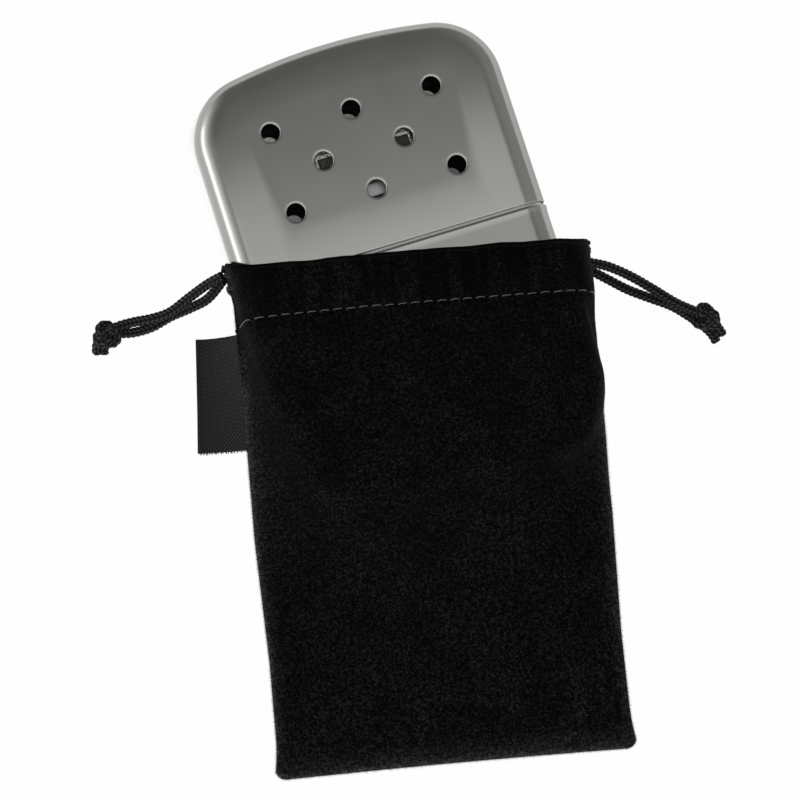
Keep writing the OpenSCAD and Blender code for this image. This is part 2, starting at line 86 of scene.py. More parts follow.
# %% [markdown]
# ## Making meshes
#
# Each piece is a bmesh that is written to an object at the origin, so its place is in its vertices.
# One function does this for all of them, and turns millimetres into metres on the way.

# %% A piece from a bmesh
POUCH, TANK, LID = "pouch", "tank", "lid"
pieces = []


def make_piece(name, bm, body, slot, stands_for=(), smooth=True, outward=True):
    """Writes a bmesh in millimetres to a piece that rides on a body."""
    bmesh.ops.remove_doubles(bm, verts=bm.verts, dist=0.001)
    if outward:
        bmesh.ops.recalc_face_normals(bm, faces=bm.faces)
    for face in bm.faces:
        face.smooth = smooth
    bmesh.ops.scale(bm, vec=(MM, MM, MM), verts=bm.verts)
    mesh = bpy.data.meshes.new(name)
    bm.to_mesh(mesh)
    bm.free()
    piece = bpy.data.objects.new(name, mesh)
    scene.collection.objects.link(piece)
    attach(piece, body)
    if stands_for:
        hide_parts(*stands_for)
    pieces.append((piece, slot))
    print(name, "has", len(mesh.polygons), "faces and rides on", body)
    return piece


def new_parts(result, kind):
    """The vertices, edges or faces among what a bmesh operator returns."""
    return [part for part in result["geom"] if isinstance(part, kind)]


def next_ring(bm, edges):
    """Extrudes a loop of edges and gives the new loop's vertices and edges."""
    made = bmesh.ops.extrude_edge_only(bm, edges=edges)
    ring = new_parts(made, bmesh.types.BMVert)
    fresh = set(ring)
    return ring, [edge for edge in new_parts(made, bmesh.types.BMEdge) if fresh.issuperset(edge.verts)]


def unit(value):
    """A value held between 0 and 1."""
    return min(1, max(0, value))


# %% [markdown]
# ## Braided cord
#
# The drawstrings are round braids of black polyester, 2.2 mm thick. Up close, a braid is six columns
# of slanted stitches whose slopes alternate, which reads as rows of small Vs. A bump map would keep the
# outline smooth, and the real outline is knobbly, so the relief is in the mesh: a ring is extruded
# along the route again and again, and each vertex moves in or out by its place in the plait. Its height
# is kept as an attribute too, which the cord's material reads.

# %% Sweep a ring along a route
CORD_D = 2.2
BRAID_COLUMNS = 6
BRAID_PITCH = 1.0
BRAID_DEPTH = 0.3
BRAID_SIDES = 40
BRAID_STEP = 0.19


def smooth_route(route, step):
    """Points about step apart on the smooth curve through a route's points."""
    points = [Vector(point) for point in route]
    line = []
    for i, (a, b) in enumerate(zip(points, points[1:])):
        before, after = points[max(i - 1, 0)], points[min(i + 2, len(points) - 1)]
        count = max(1, round((b - a).length / step))
        for k in range(count):
            t = k / count
            line.append(0.5 * (2 * a + (b - before) * t + (2 * before - 5 * a + 4 * b - after) * t ** 2
                               + (3 * a - before - 3 * b + after) * t ** 3))
    return line + [points[-1]]


def plait(turn, run):
    """Height of the braid's relief, 0 to 1, at a share of a turn round it and a length along it."""
    column = turn * BRAID_COLUMNS
    across = column - floor(column)
    slant = (across - 0.5) * (1 if floor(column) % 2 else -1)
    stitch = abs(sin(pi * (run / BRAID_PITCH + 0.9 * slant)))
    return stitch ** 0.8 * sin(pi * across) ** 0.7


def sweep(bm, line, radius, sides, relief=None, depth=0.0, shape=None):
    """Extrudes a ring along a line and closes its ends. relief gives a height from a turn and a length,
    and shape gives the radius's share at a share of the line."""
    place = bm.verts.layers.int.get("place") or bm.verts.layers.int.new("place")
    height = bm.verts.layers.float.get("relief") or bm.verts.layers.float.new("relief")
    ring = bmesh.ops.create_circle(bm, cap_ends=False, radius=radius, segments=sides)["verts"]
    for k, vert in enumerate(ring):
        vert[place] = k
    edges = list({edge for vert in ring for edge in vert.link_edges})
    first, run = edges, 0.0
    across = (line[1] - line[0]).orthogonal()
    for i, point in enumerate(line):
        ahead = (line[min(i + 1, len(line) - 1)] - line[max(i - 1, 0)]).normalized()
        across = (across - ahead * across.dot(ahead)).normalized()
        upward = ahead.cross(across)
        if i:
            run += (point - line[i - 1]).length
            ring, edges = next_ring(bm, edges)
        size = radius * (shape(i / (len(line) - 1)) if shape else 1)
        for vert in ring:
            turned = vert[place] / sides
            vert[height] = relief(turned, run) if relief else 1.0
            angle = 2 * pi * turned
            out = size - depth * (1 - vert[height])
            vert.co = point + (across * cos(angle) + upward * sin(angle)) * out
    for rim in (first, edges):
        bmesh.ops.edgeloop_fill(bm, edges=rim)


def cut_end(share):
    """The radius's share along a cord: full, and drawn in a little at its two cut ends."""
    return min(1.0, 0.72 + 28 * min(share, 1 - share))


print("a cord's braid has", BRAID_SIDES, "sides and a ring each", BRAID_STEP, "mm")

# %% [markdown]
# ## The four free strands
#
# Two drawstrings run through the hem in opposite directions, so a pair of strands leaves each side of
# the mouth. Their routes are chosen from the photograph: out of the hem beside the seam, down
# to the surface, side by side or crossing, and through the stopper knot to a short cut tail. They follow
# the imported model's cords, with shorter tails at the left and that knot a little nearer to the mouth.

# %% Lay the strands
STRANDS = {
    "left_cord_front": [(-35.5, 31.2, 11), (-39, 30.9, 9), (-43.4, 29.9, 6.4), (-48, 28.6, 4.4),
                        (-52, 28.6, 3.5), (-56, 29.2, 2.8), (-59.5, 29.1, 3.4), (-62.6, 28.3, 3.6),
                        (-64.6, 26.8, 2.4), (-65.2, 25.2, 1.2)],
    "left_cord_back": [(-35.6, 31, 8), (-39.6, 28.9, 5), (-43.6, 28.6, 2.6), (-48, 28.4, 1.2),
                       (-52.4, 27.4, 1.2), (-56.4, 27.4, 1.2), (-60, 27.9, 2.2), (-62.4, 27.3, 2.4),
                       (-63.4, 26, 1.8), (-63.9, 24.7, 1.2)],
    "right_cord_front": [(39.6, 12, 6.6), (43.4, 10.2, 5.4), (47.6, 7, 4), (51.4, 3, 3.4), (54.6, -0.8, 3.4),
                         (57.4, -3.4, 3.4), (60, -5.6, 3.8), (61.6, -8, 3), (62.8, -10.4, 1.2)],
    "right_cord_back": [(39.6, 11.4, 3), (43, 8.4, 1.8), (46.6, 5, 1.2), (50.6, 1.8, 1.2), (54.4, -1.2, 1.2),
                        (57.2, -4.4, 1.2), (59, -7, 1.8), (60.4, -9.4, 1.6), (61, -11.6, 1.2)],
}


def length_of(line):
    return sum((b - a).length for a, b in zip(line, line[1:]))


strands = {}
for name, route in STRANDS.items():
    bm = bmesh.new()
    line = smooth_route(route, BRAID_STEP)
    sweep(bm, line, CORD_D / 2, BRAID_SIDES, plait, BRAID_DEPTH, cut_end)
    strands[name] = make_piece(name + "_braid", bm, POUCH, "braided_cord", [name])
    print(name, "is", round(length_of(line), 1), "mm long")

# %% [markdown]
# ## Stopper knots
#
# Each pair ends in one tight knot. An overhand knot closes into a trefoil, so the lump is a trefoil
# curve of the same braid, pulled so tight that its turns press into each other.

# %% Tie the knots
KNOT_BIG = 1.5
KNOT_SMALL = 0.75
KNOT_FLAT = 0.95
KNOT_POINTS = 90
KNOTS = {"left_knot": ((-62.1, 28.1, 3.1), 200), "right_knot": ((60, -6, 3.1), -45)}


def trefoil(centre, heading):
    """Points of a closed, tight overhand knot about a centre."""
    place = Matrix.Translation(centre) @ Matrix.Rotation(radians(heading), 4, "Z")
    line = []
    for k in range(KNOT_POINTS + 1):
        a = 2 * pi * k / KNOT_POINTS
        out = KNOT_BIG + KNOT_SMALL * cos(3 * a)
        line.append(place @ Vector((out * cos(2 * a), out * sin(2 * a), KNOT_FLAT * KNOT_SMALL * sin(3 * a))))
    return line


for name, (centre, heading) in KNOTS.items():
    bm = bmesh.new()
    sweep(bm, smooth_route(trefoil(centre, heading), BRAID_STEP), CORD_D / 2, BRAID_SIDES, plait, BRAID_DEPTH)
    make_piece(name + "_braid", bm, POUCH, "braided_cord", [name])

for name, piece in strands.items():
    line = [point * MM for point in smooth_route(STRANDS[name], 1.0)]
    length_of(line)

# %% [markdown]
# ## The cords inside the hem
#
# Each drawstring goes once round the mouth inside the hem: over the warmer, out through the far seam in
# a small loop that shows beside the pouch, and back underneath. Only the loops show, but both runs are
# made whole, because the mouth can be looked into when the warmer is out.

# %% Thread the hem
HEM_RUNS = {
    "first_cord_run": [
        (-35.3, 31.1, 11.2), (-34.5, 30.2, 13.6), (-33.8, 29.3, 15.4), (-32.6, 28.4, 17.1), (-30.1, 27.3, 19.3),
        (-22.5, 25.6, 20.7), (-11.2, 23.1, 20.5), (0, 20.6, 20.4), (11.2, 18.1, 20.2), (22.5, 15.6, 20),
        (30.1, 13.9, 19.4), (32.9, 13.9, 17.6), (34.8, 14.6, 14.4), (37.8, 15.3, 8.4), (40, 15, 6),
        (39.4, 14.8, 3.6), (37.1, 15.1, 3.2), (30.9, 16.5, 2), (18.5, 19.2, 2), (6.2, 22, 2), (-6.2, 24.8, 2),
        (-18.5, 27.5, 2), (-26.1, 29.2, 2.2), (-31.7, 30.5, 3.8), (-34.3, 31, 6.6), (-35.4, 31.3, 8.6)],
    "second_cord_run": [
        (39.5, 11.7, 6.6), (37.5, 12.1, 9), (34.8, 11.8, 14.2), (32.9, 11, 17.4), (30.1, 11.1, 19.2),
        (22.5, 12.7, 19.8), (11.2, 15.2, 20), (0, 17.7, 20.1), (-11.2, 20.2, 20.3), (-22.5, 22.7, 20.5),
        (-30.1, 24.5, 19.2), (-32.6, 25.6, 17), (-33.9, 26.8, 14.8), (-34.8, 27.9, 12.4), (-35.2, 28.5, 10),
        (-34.3, 28.2, 6.6), (-31.7, 27.6, 3.8), (-26.1, 26.3, 2.2), (-18.5, 24.7, 2), (-6.2, 21.9, 2),
        (6.2, 19.1, 2), (18.5, 16.4, 2), (30.9, 13.6, 2), (37.1, 12.2, 3.2), (39.5, 11.7, 3)],
}
HEM_BRAID_STEP = 0.3
HEM_BRAID_SIDES = 24


def squeezed(line):
    """The radius's share along a run: pressed thin where it turns over the warmer's left edge."""
    def share_at(share):
        point = line[round(share * (len(line) - 1))]
        return cut_end(share) * (1 - 0.5 * unit((-31 - point.x) / 1.5) * unit((point.z - 6) / 4))
    return share_at


for name, route in HEM_RUNS.items():
    bm = bmesh.new()
    line = smooth_route(route, HEM_BRAID_STEP)
    sweep(bm, line, CORD_D / 2, HEM_BRAID_SIDES, plait, BRAID_DEPTH, squeezed(line))
    make_piece(name + "_braid", bm, POUCH, "braided_cord", [name])

# %% [markdown]
# ## The warmer's own frame
#
# The warmer lies tipped by 4.2 degrees, because its underside rides on the corded hem. Its pieces are
# modelled lying flat, with the underside at z = 0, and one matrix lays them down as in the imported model.

# %% The tip
WARMER_W = 67
WARMER_T = 13
TANK_H = 53
LID_H = 45.8
EDGE_R = 5.4
CORNER_R = 14
TANK_CORNER_R = 17.5
LID_CROWN_R = 125
TANK_CROWN_R = 260
SHEET_T = 0.5
TIP = radians(4.2)
REST_Z = 1.35
PARTING_Y = TANK_H / 2

tip = (Matrix.Translation((0, -PARTING_Y, REST_Z)) @ Matrix.Rotation(TIP, 4, "X")
       @ Matrix.Translation((0, PARTING_Y, 0)))
lid_low, lid_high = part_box("lid_shell")
print("lid in the frame, mm:", [round(c / MM, 1) for c in lid_low], [round(c / MM, 1) for c in lid_high])

# %% [markdown]
# ## Drawn cups
#
# Lid and tank are cups drawn from sheet in a press: flat faces, edges that roll over with one radius,
# big corners and a crowned end. The outline starts as one vertex that is spun round each corner, then
# it is filled, thickened into a block and bevelled, which gives the rolled edge its true section. The
# mouth's face is deleted, a Solidify modifier gives the sheet its thickness and a fine Bevel breaks
# its cut edges, so they catch light.
#
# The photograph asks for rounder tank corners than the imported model's 14 mm, so they are 17.5 mm here.
# One fault is open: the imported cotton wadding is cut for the 14 mm corner and comes 0.38 mm through this
# tank at its two bottom corners. The pouch hides it until the warmer is drawn out.

# %% Draw a cup
EDGE_STEPS = 12
CORNER_STEPS = 14
CROWN_STEPS = 16
CROWN_H = 0.13
CROWN_REACH = 5.5
CROWN_RINGS = 5


def cup_outline(bm, length, corner, crown):
    """The cup's outline in its own plane, from the left of the mouth round to the right."""
    lean = asin((WARMER_W / 2 - corner) / (crown - corner))
    corner_y = length - crown + (crown - corner) * cos(lean)
    corner_x = WARMER_W / 2 - corner
    start = bm.verts.new((-WARMER_W / 2, 0, 0))
    made = bmesh.ops.extrude_vert_indiv(bm, verts=[start])
    last = made["verts"][0]
    last.co = (-WARMER_W / 2, corner_y, 0)
    spins = [((-corner_x, corner_y, 0), pi / 2 - lean, CORNER_STEPS),
             ((0, length - crown, 0), 2 * lean, CROWN_STEPS),
             ((corner_x, corner_y, 0), pi / 2 - lean, CORNER_STEPS)]
    for centre, angle, steps in spins:
        made = bmesh.ops.spin(bm, geom=[last], cent=centre, axis=(0, 0, 1), angle=-angle, steps=steps)
        last = [part for part in made["geom_last"] if isinstance(part, bmesh.types.BMVert)][0]
    made = bmesh.ops.extrude_vert_indiv(bm, verts=[last])
    made["verts"][0].co = (WARMER_W / 2, 0, 0)
    bm.edges.new((made["verts"][0], start))
    return bmesh.ops.contextual_create(bm, geom=bm.edges[:])["faces"]


def drawn_block(length, corner, crown, margin=0.0):
    """A solid block with the cup's outer form, open at its mouth, which lies at y = 0. Its two faces
    stay a margin low, for their crown."""
    bm = bmesh.new()
    face = cup_outline(bm, length, corner, crown)
    bmesh.ops.translate(bm, vec=(0, 0, margin), verts=bm.verts)
    made = bmesh.ops.extrude_face_region(bm, geom=face)
    bmesh.ops.translate(bm, vec=(0, 0, WARMER_T - 2 * margin), verts=new_parts(made, bmesh.types.BMVert))
    rims = [edge for edge in bm.edges
            if abs(edge.verts[0].co.z - edge.verts[1].co.z) < 0.01
            and max(abs(vert.co.y) for vert in edge.verts) > 0.01]
    bmesh.ops.bevel(bm, geom=rims, offset=EDGE_R, offset_type="OFFSET", segments=EDGE_STEPS, profile=0.5,
                    affect="EDGES", material=-1)
    mouth = [face for face in bm.faces if max(abs(vert.co.y) for vert in face.verts) < 0.01]
    bmesh.ops.delete(bm, geom=mouth, context="FACES_ONLY")
    bmesh.ops.recalc_face_normals(bm, faces=bm.faces)
    return bm


def mouth_edges(bm):
    """The open edges that lie in the mouth's plane."""
    y = min(vert.co.y for vert in bm.verts)
    return [edge for edge in bm.edges if edge.is_boundary and all(abs(v.co.y - y) < 0.01 for v in edge.verts)]


def roll_rim(bm, profile):
    """Draws the mouth's edge on through (distance forward, distance inward) steps."""
    edges = mouth_edges(bm)
    y0 = edges[0].verts[0].co.y
    half_w, half_t, before = WARMER_W / 2, WARMER_T / 2, 0.0
    for forward, inward in profile:
        ring, edges = next_ring(bm, edges)
        for vert in ring:
            vert.co.x *= (half_w - inward) / (half_w - before)
            vert.co.z = half_t + (vert.co.z - half_t) * (half_t - inward) / (half_t - before)
            vert.co.y = y0 - forward
        before = inward
    return edges


print("a rolled edge has", EDGE_STEPS, "steps over", EDGE_R, "mm")

# %% [markdown]
# ## Vents
#
# The vents are punched from outside, so the sheet dips a little into each hole and the lip is round.
# To keep the faces flat around them, each face is cut free and filled again between its outline and
# the circles, and the dip is extruded ring by ring towards the hole. The lid's faces also have a low
# crown, which rises in rings from the rolled edge.

# %% Punch the vents
VENT_R = 1.95
VENT_PITCH = Vector((17.6, 8.8))
VENT_MID = 20.75
VENT_SIDES = 32
VENT_RINGS = [(0.6, 0.0), (0.44, 0.0), (0.24, 0.02), (0.12, 0.06), (0.03, 0.14), (0.0, 0.26), (0.0, 0.5)]
VENTS = [(column, row) for row in (-1, 0, 1) for column in ((-0.5, 0.5) if row == 0 else (-1, 0, 1))]


def flat_faces(bm, rise=0.0):
    """The two big faces, each cut free from the rolled edge by rings that rise to a low crown."""
    found = []
    for side in (-1, 1):
        flat = max((face for face in bm.faces if face.normal.z * side > 0.999),
                   key=lambda face: face.calc_area())
        low = flat.verts[0].co.z
        for ring in range(CROWN_RINGS):
            bmesh.ops.inset_region(bm, faces=[flat], thickness=CROWN_REACH / CROWN_RINGS, use_boundary=False,
                                   use_even_offset=True)
            for vert in flat.verts:
                vert.co.z = low + side * rise * (1 - (1 - (ring + 1) / CROWN_RINGS) ** 2)
        found.append((side, flat))
    return found


def punch(bm, side, flat):
    """Cuts the vents in one flat face and dips their lips."""
    z = flat.verts[0].co.z
    outline = list(flat.edges)
    bmesh.ops.delete(bm, geom=[flat], context="FACES_ONLY")
    holes = []
    for column, row in VENTS:
        centre = Vector((column * VENT_PITCH.x, VENT_MID + row * VENT_PITCH.y, z))
        verts = bmesh.ops.create_circle(bm, cap_ends=False, radius=VENT_R + VENT_RINGS[0][0],
                                        segments=VENT_SIDES, matrix=Matrix.Translation(centre))["verts"]
        holes.append((centre, list({edge for vert in verts for edge in vert.link_edges})))
    rims = outline + [edge for hole in holes for edge in hole[1]]
    bmesh.ops.triangle_fill(bm, use_beauty=True, use_dissolve=False, edges=rims, normal=(0, 0, side))
    for centre, edges in holes:
        wide = VENT_RINGS[0][0]
        for out, dip in VENT_RINGS[1:]:
            ring, edges = next_ring(bm, edges)
            for vert in ring:
                share = (VENT_R + out) / (VENT_R + wide)
                vert.co = centre + Vector(((vert.co.x - centre.x) * share, (vert.co.y - centre.y) * share,
                                           -side * dip))
            wide = out


rows = [row for _, row in VENTS]
print(len(VENTS), "vents on each face, in rows of", [rows.count(row) for row in (1, 0, -1)])

# %% [markdown]
# ## The lid and the tank
#
# The lid's rim is cut clean and only its outer corner is broken, so it shows as one thin bright line.
# The tank's rim swells by a tenth of a millimetre before it turns in to the collar. That low bead is
# the bright shoulder under the dark parting groove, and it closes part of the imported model's gap.

# %% Shape the lid and the tank
LID_RIM = [(0.12, 0.02), (0.22, 0.06), (0.28, 0.13), (0.3, 0.22)]
TANK_RIM = [(0.4, -0.01), (0.9, -0.05), (1.3, -0.12), (1.55, -0.14), (1.75, -0.06), (1.88, 0.08), (1.95, 0.3)]
SEEN_GAP = 0.55
BROKEN_EDGE = 0.1


def finish_sheet(piece):
    """Gives a drawn skin its sheet thickness and breaks its cut edges."""
    wall = piece.modifiers.new("wall", "SOLIDIFY")
    wall.thickness = SHEET_T * MM
    wall.offset = -1
    wall.use_even_offset = True
    broken = piece.modifiers.new("broken_edges", "BEVEL")
    broken.width = BROKEN_EDGE * MM
    broken.segments = 2
    broken.limit_method = "ANGLE"
    broken.angle_limit = radians(50)


bm = drawn_block(LID_H - LID_RIM[-1][0], CORNER_R, LID_CROWN_R, CROWN_H)
for side, flat in flat_faces(bm, CROWN_H):
    punch(bm, side, flat)
roll_rim(bm, LID_RIM)
bmesh.ops.translate(bm, vec=(0, PARTING_Y + LID_RIM[-1][0], 0), verts=bm.verts)
bmesh.ops.transform(bm, matrix=tip, verts=bm.verts)
finish_sheet(make_piece("lid_drawn", bm, LID, "satin_chrome", ["lid_shell"]))

bm = drawn_block(TANK_H - SEEN_GAP - TANK_RIM[-1][0], TANK_CORNER_R, TANK_CROWN_R)
flat_faces(bm)
roll_rim(bm, TANK_RIM)
bmesh.ops.rotate(bm, cent=(0, 0, WARMER_T / 2), matrix=Matrix.Rotation(pi, 3, "Z"), verts=bm.verts)
bmesh.ops.translate(bm, vec=(0, PARTING_Y - SEEN_GAP - TANK_RIM[-1][0], 0), verts=bm.verts)
bmesh.ops.transform(bm, matrix=tip, verts=bm.verts)
finish_sheet(make_piece("tank_drawn", bm, TANK, "satin_chrome", ["tank_shell"]))

# %% [markdown]
# ## Where the velvet lies
#
# The pouch is a flat velvet bag, and everything about its form comes from the warmer inside it. A few
# short functions say where the cloth goes: how far a place in the plan is outside the warmer's flat
# top, how high its rounded edge stands there, and where the two side seams run. Most values are the
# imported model's, so the cloth lies where its solids do. The pouch's outline and the hem's lean down the
# warmer are nearer to the photograph here.

# %% Describe the pouch
POUCH_W = 76
POUCH_L = 107.5
POUCH_TURN = radians(12.6)
OUTLINE_CORNER = 2.2
HEM_D = 10.6
HEM_LEAN = 2.8
LEAN_END = 28
FABRIC_T = 0.8
FIT_GAP = 0.3
SEAT = 0.05
MOUTH_AT = Vector((3.8, PARTING_Y - 1.2))
ACROSS = Vector((cos(POUCH_TURN), -sin(POUCH_TURN)))
DOWN = Vector((-sin(POUCH_TURN), -cos(POUCH_TURN)))
CORE_CORNER = TANK_CORNER_R - EDGE_R
CORE_HALF = WARMER_W / 2 - EDGE_R
CORE_LOW = -PARTING_Y + EDGE_R - tan(TIP) * (WARMER_T - EDGE_R)
WRAP_R = EDGE_R + FIT_GAP + FABRIC_T
HUG_R = WRAP_R + 0.15
SEAM_FLOOR = FABRIC_T + 0.1
SPINE_V = 40
FILLED_V = 70
SIDE_TAPER, SIDE_WAIST, FOOT_FLARE = 0.35, 0.9, 0.7


def pouch_at(u, v):
    """The place in plan that is u across and v down from the middle of the mouth."""
    return MOUTH_AT + u * ACROSS + v * DOWN


def outside(p):
    """How far a place in plan lies outside the line where the warmer's top turns into its edge."""
    x, y = abs(p.x) - (CORE_HALF - CORE_CORNER), CORE_LOW + CORE_CORNER - p.y
    return sqrt(max(x, 0) ** 2 + max(y, 0) ** 2) + min(max(x, y), 0) - CORE_CORNER


def underside(y):
    """Height of the tipped warmer's underside."""
    return REST_Z + tan(TIP) * (y + PARTING_Y)


def seam_place(u, v):
    """Where a place on the flat pouch's outline goes: pushed out where the warmer fills the pouch."""
    p = pouch_at(u, v)
    room = max(0, HUG_R - outside(p)) if v <= FILLED_V else 0
    return p + Vector((-room if u < 0 else room, 0))


def seam_height(p):
    """Height of the side seam: half-way up the warmer where it is close, on the floor elsewhere."""
    fill = exp(-((outside(p) - WRAP_R) / 6) ** 2)
    return SEAM_FLOOR + 0.5 * fill * (underside(p.y) + WARMER_T / 2 - SEAM_FLOOR)


def half_at(v):
    """Half the pouch's width: its sides draw in towards the bottom and flare again at the corners."""
    return (POUCH_W / 2 - SIDE_TAPER * min(1, v / 30) - SIDE_WAIST * unit((v - 58) / 25)
            + FOOT_FLARE * exp(-((v - POUCH_L) / 4.5) ** 2))


def outline_of_pouch():
    """Places (u, v) round the flat pouch, from the mouth's left end to its right end."""
    foot = POUCH_L - OUTLINE_CORNER
    inner = half_at(POUCH_L) - OUTLINE_CORNER
    depths = [0.45 * k for k in range(36)] + [16 + (foot - 16) * k / 104 for k in range(105)]
    left = [(-half_at(v), v) for v in depths]
    left += [(-inner - OUTLINE_CORNER * cos(a), foot + OUTLINE_CORNER * sin(a))
             for a in [pi / 2 * k / 7 for k in range(1, 8)]]
    below = [(inner * s, POUCH_L - 0.3 * cos(radians(85 * s))) for s in [k / 42 for k in range(-41, 42)]]
    return left + below + [(-u, v) for u, v in reversed(left)]


def lean_at(u, v):
    """How far the hem slides down the warmer on its upper side."""
    full = HEM_LEAN + 0.3 + 0.45 * max(0, -u / 30) ** 2
    return full * unit((LEAN_END - v) / (LEAN_END - HEM_D))


def slide(s, s1):
    """Share of that lean: all of it on the flat top, none of it at a seam that is s1 out."""
    power = 2 + 2 * unit((s1 - HUG_R) / 5)
    return 1 if s <= 0 else sqrt(max(0, 1 - (s / s1) ** power))


def hem_shift(u, v, s, s1):
    """Where the lean takes a place of the front panel. At the seam only the stitched edge goes down, and
    less."""
    lean, share = lean_at(u, v), slide(s, s1)
    return Vector((0, -lean * share)) + DOWN * 0.6 * lean * (1 - share) * min(1, max(0, v) / HEM_D)


OUTLINE = outline_of_pouch()
print(len(OUTLINE), "rays round the pouch, warmer's edge starts", round(CORE_HALF, 2), "mm from the middle")

# %% [markdown]
# ## The two velvet panels
#
# Each panel is a grid whose columns run as rays from a spine on top of the warmer out to the seam. The
# rays cross the rounded edge squarely, so the grid stays even where a plan grid would smear down the
# side. On this base form come the things that make it cloth: the hem swells over its cords, the row of
# stitches pulls it down, short puckers run from the stitches and the seams, and slow waves go over
# the loose part. The panels' edges roll in to meet at the seam, as on a bag sewn inside out and turned.

# %% Drape a panel
FLAT_SAMPLES = 44
EDGE_SAMPLES = 13
FALL_SAMPLES = 16
SEAM_ROLL = [1.5, 1.15, 0.85, 0.58, 0.34, 0.15, 0.04, 0.0]
STITCH_PITCH = 2.7
HEM_CORNER = 3.0
MOUTH_CURL = 8
CORNER_DROP = {-1: 0.4, 1: 0.0}


def fray(x, y, seed):
    """Smooth noise from -1 to 1."""
    return noise.noise(Vector((x, y, seed)))


def leave_angle(s1):
    """Angle on the warmer's rounded edge at which the velvet leaves it, for a seam s1 away."""
    return radians(min(84, 40 + 50 * exp(-(s1 - WRAP_R) / 11)))


def smooth_hem(v):
    """Height of the hem's swell over its two cords, at a depth below the mouth."""
    if v > HEM_D + 2:
        return 0.0
    if v > HEM_D:
        return 0.5 * FABRIC_T * (1 - (v - HEM_D) / 2)
    swell = sin(pi * (max(v, 0) / HEM_D) ** 0.72) ** 0.6
    return FABRIC_T + SEAT + (CORD_D + 0.25) * swell


def front_height(p, s1, lift, z1, stiff):
    """Height of the front panel over a place, on a ray whose seam is s1 out and z1 high. The corded hem
    is stiff, 1, and holds its corner out where the single velvet, 0, falls."""
    s, top, out = outside(p), underside(p.y) + WARMER_T - EDGE_R, leave_angle(s1)
    if stiff and s > 0:
        fall = (s / s1) ** HEM_CORNER
        held = z1 + (top + WRAP_R + lift - z1) * sqrt(max(0, 1 - fall))
        return held * stiff + (1 - stiff) * front_height(p, s1, lift, z1, 0)
    fade = sqrt(max(0, 1 - max(0, s) / (WRAP_R + 3)))
    if s <= 0:
        return top + WRAP_R + lift
    s_leave, z_leave = WRAP_R * sin(out), top + WRAP_R * cos(out)
    if s < s_leave:
        return top + sqrt(WRAP_R ** 2 - s ** 2) + lift * fade
    t = min(1, (s - s_leave) / max(0.01, s1 - s_leave))
    power = max(1, tan(out) * (s1 - s_leave) / (z_leave - z1))
    return z1 + (z_leave - z1) * (1 - t) ** power + lift * fade * (1 - t)


def back_height(p, s1, z1):
    """Height of the back panel's underside at a place, on a ray whose seam is s1 out and z1 high."""
    s, low = outside(p), underside(p.y) + EDGE_R
    hug = low - sqrt(WRAP_R ** 2 - s ** 2) if 0 < s < WRAP_R else (low if s > 0 else low - WRAP_R)
    return min((z1 - SEAM_FLOOR) * max(0, (s - s1 + 12) / 12) ** 2.2, max(0, hug))


def ray_samples(s0, s1):
    """Distances outside the edge line at which a ray has its vertices."""
    out = WRAP_R * sin(leave_angle(s1))
    last = s1 - SEAM_ROLL[0]
    far = [s0 * (1 - k / FLAT_SAMPLES) for k in range(FLAT_SAMPLES)]
    far += [min(WRAP_R * sin(leave_angle(s1) * k / EDGE_SAMPLES), last) for k in range(EDGE_SAMPLES + 1)]
    start = min(out, last)
    far += [start + (last - start) * k / FALL_SAMPLES for k in range(1, FALL_SAMPLES + 1)]
    return far + [s1 - roll for roll in SEAM_ROLL[1:]]


def waves(u, v, s, edge, seed):
    """Slow and quick waves in the loose cloth, as a height."""
    loose = min(1, max(0, s - 2) / 12)
    slow = 0.9 * fray(u / 17, v / 26, seed) * loose * min(1, edge / 6)
    quick = 0.10 * fray(u / 3.1, v / 3.4, seed + 5) * min(1, edge / 1.5)
    gather = 0.42 * fray(u / 2.6, v / 16, seed + 9) * exp(-max(0, v - HEM_D) / 2.5) * min(1, edge / 2)
    pull = -0.42 * exp(-((v - HEM_D) / 0.8) ** 2) * (0.7 + 0.3 * cos(2 * pi * u / STITCH_PITCH))
    ripple = 0.13 * cos(2 * pi * u / STITCH_PITCH + pi) * exp(-abs(v - HEM_D) / 2.4)
    seam = 0.22 * fray(v / 2.2, u / 9, seed + 13) * exp(-edge / 2.6) * min(1, edge / 0.8)
    return slow + quick + gather + pull + ripple + seam


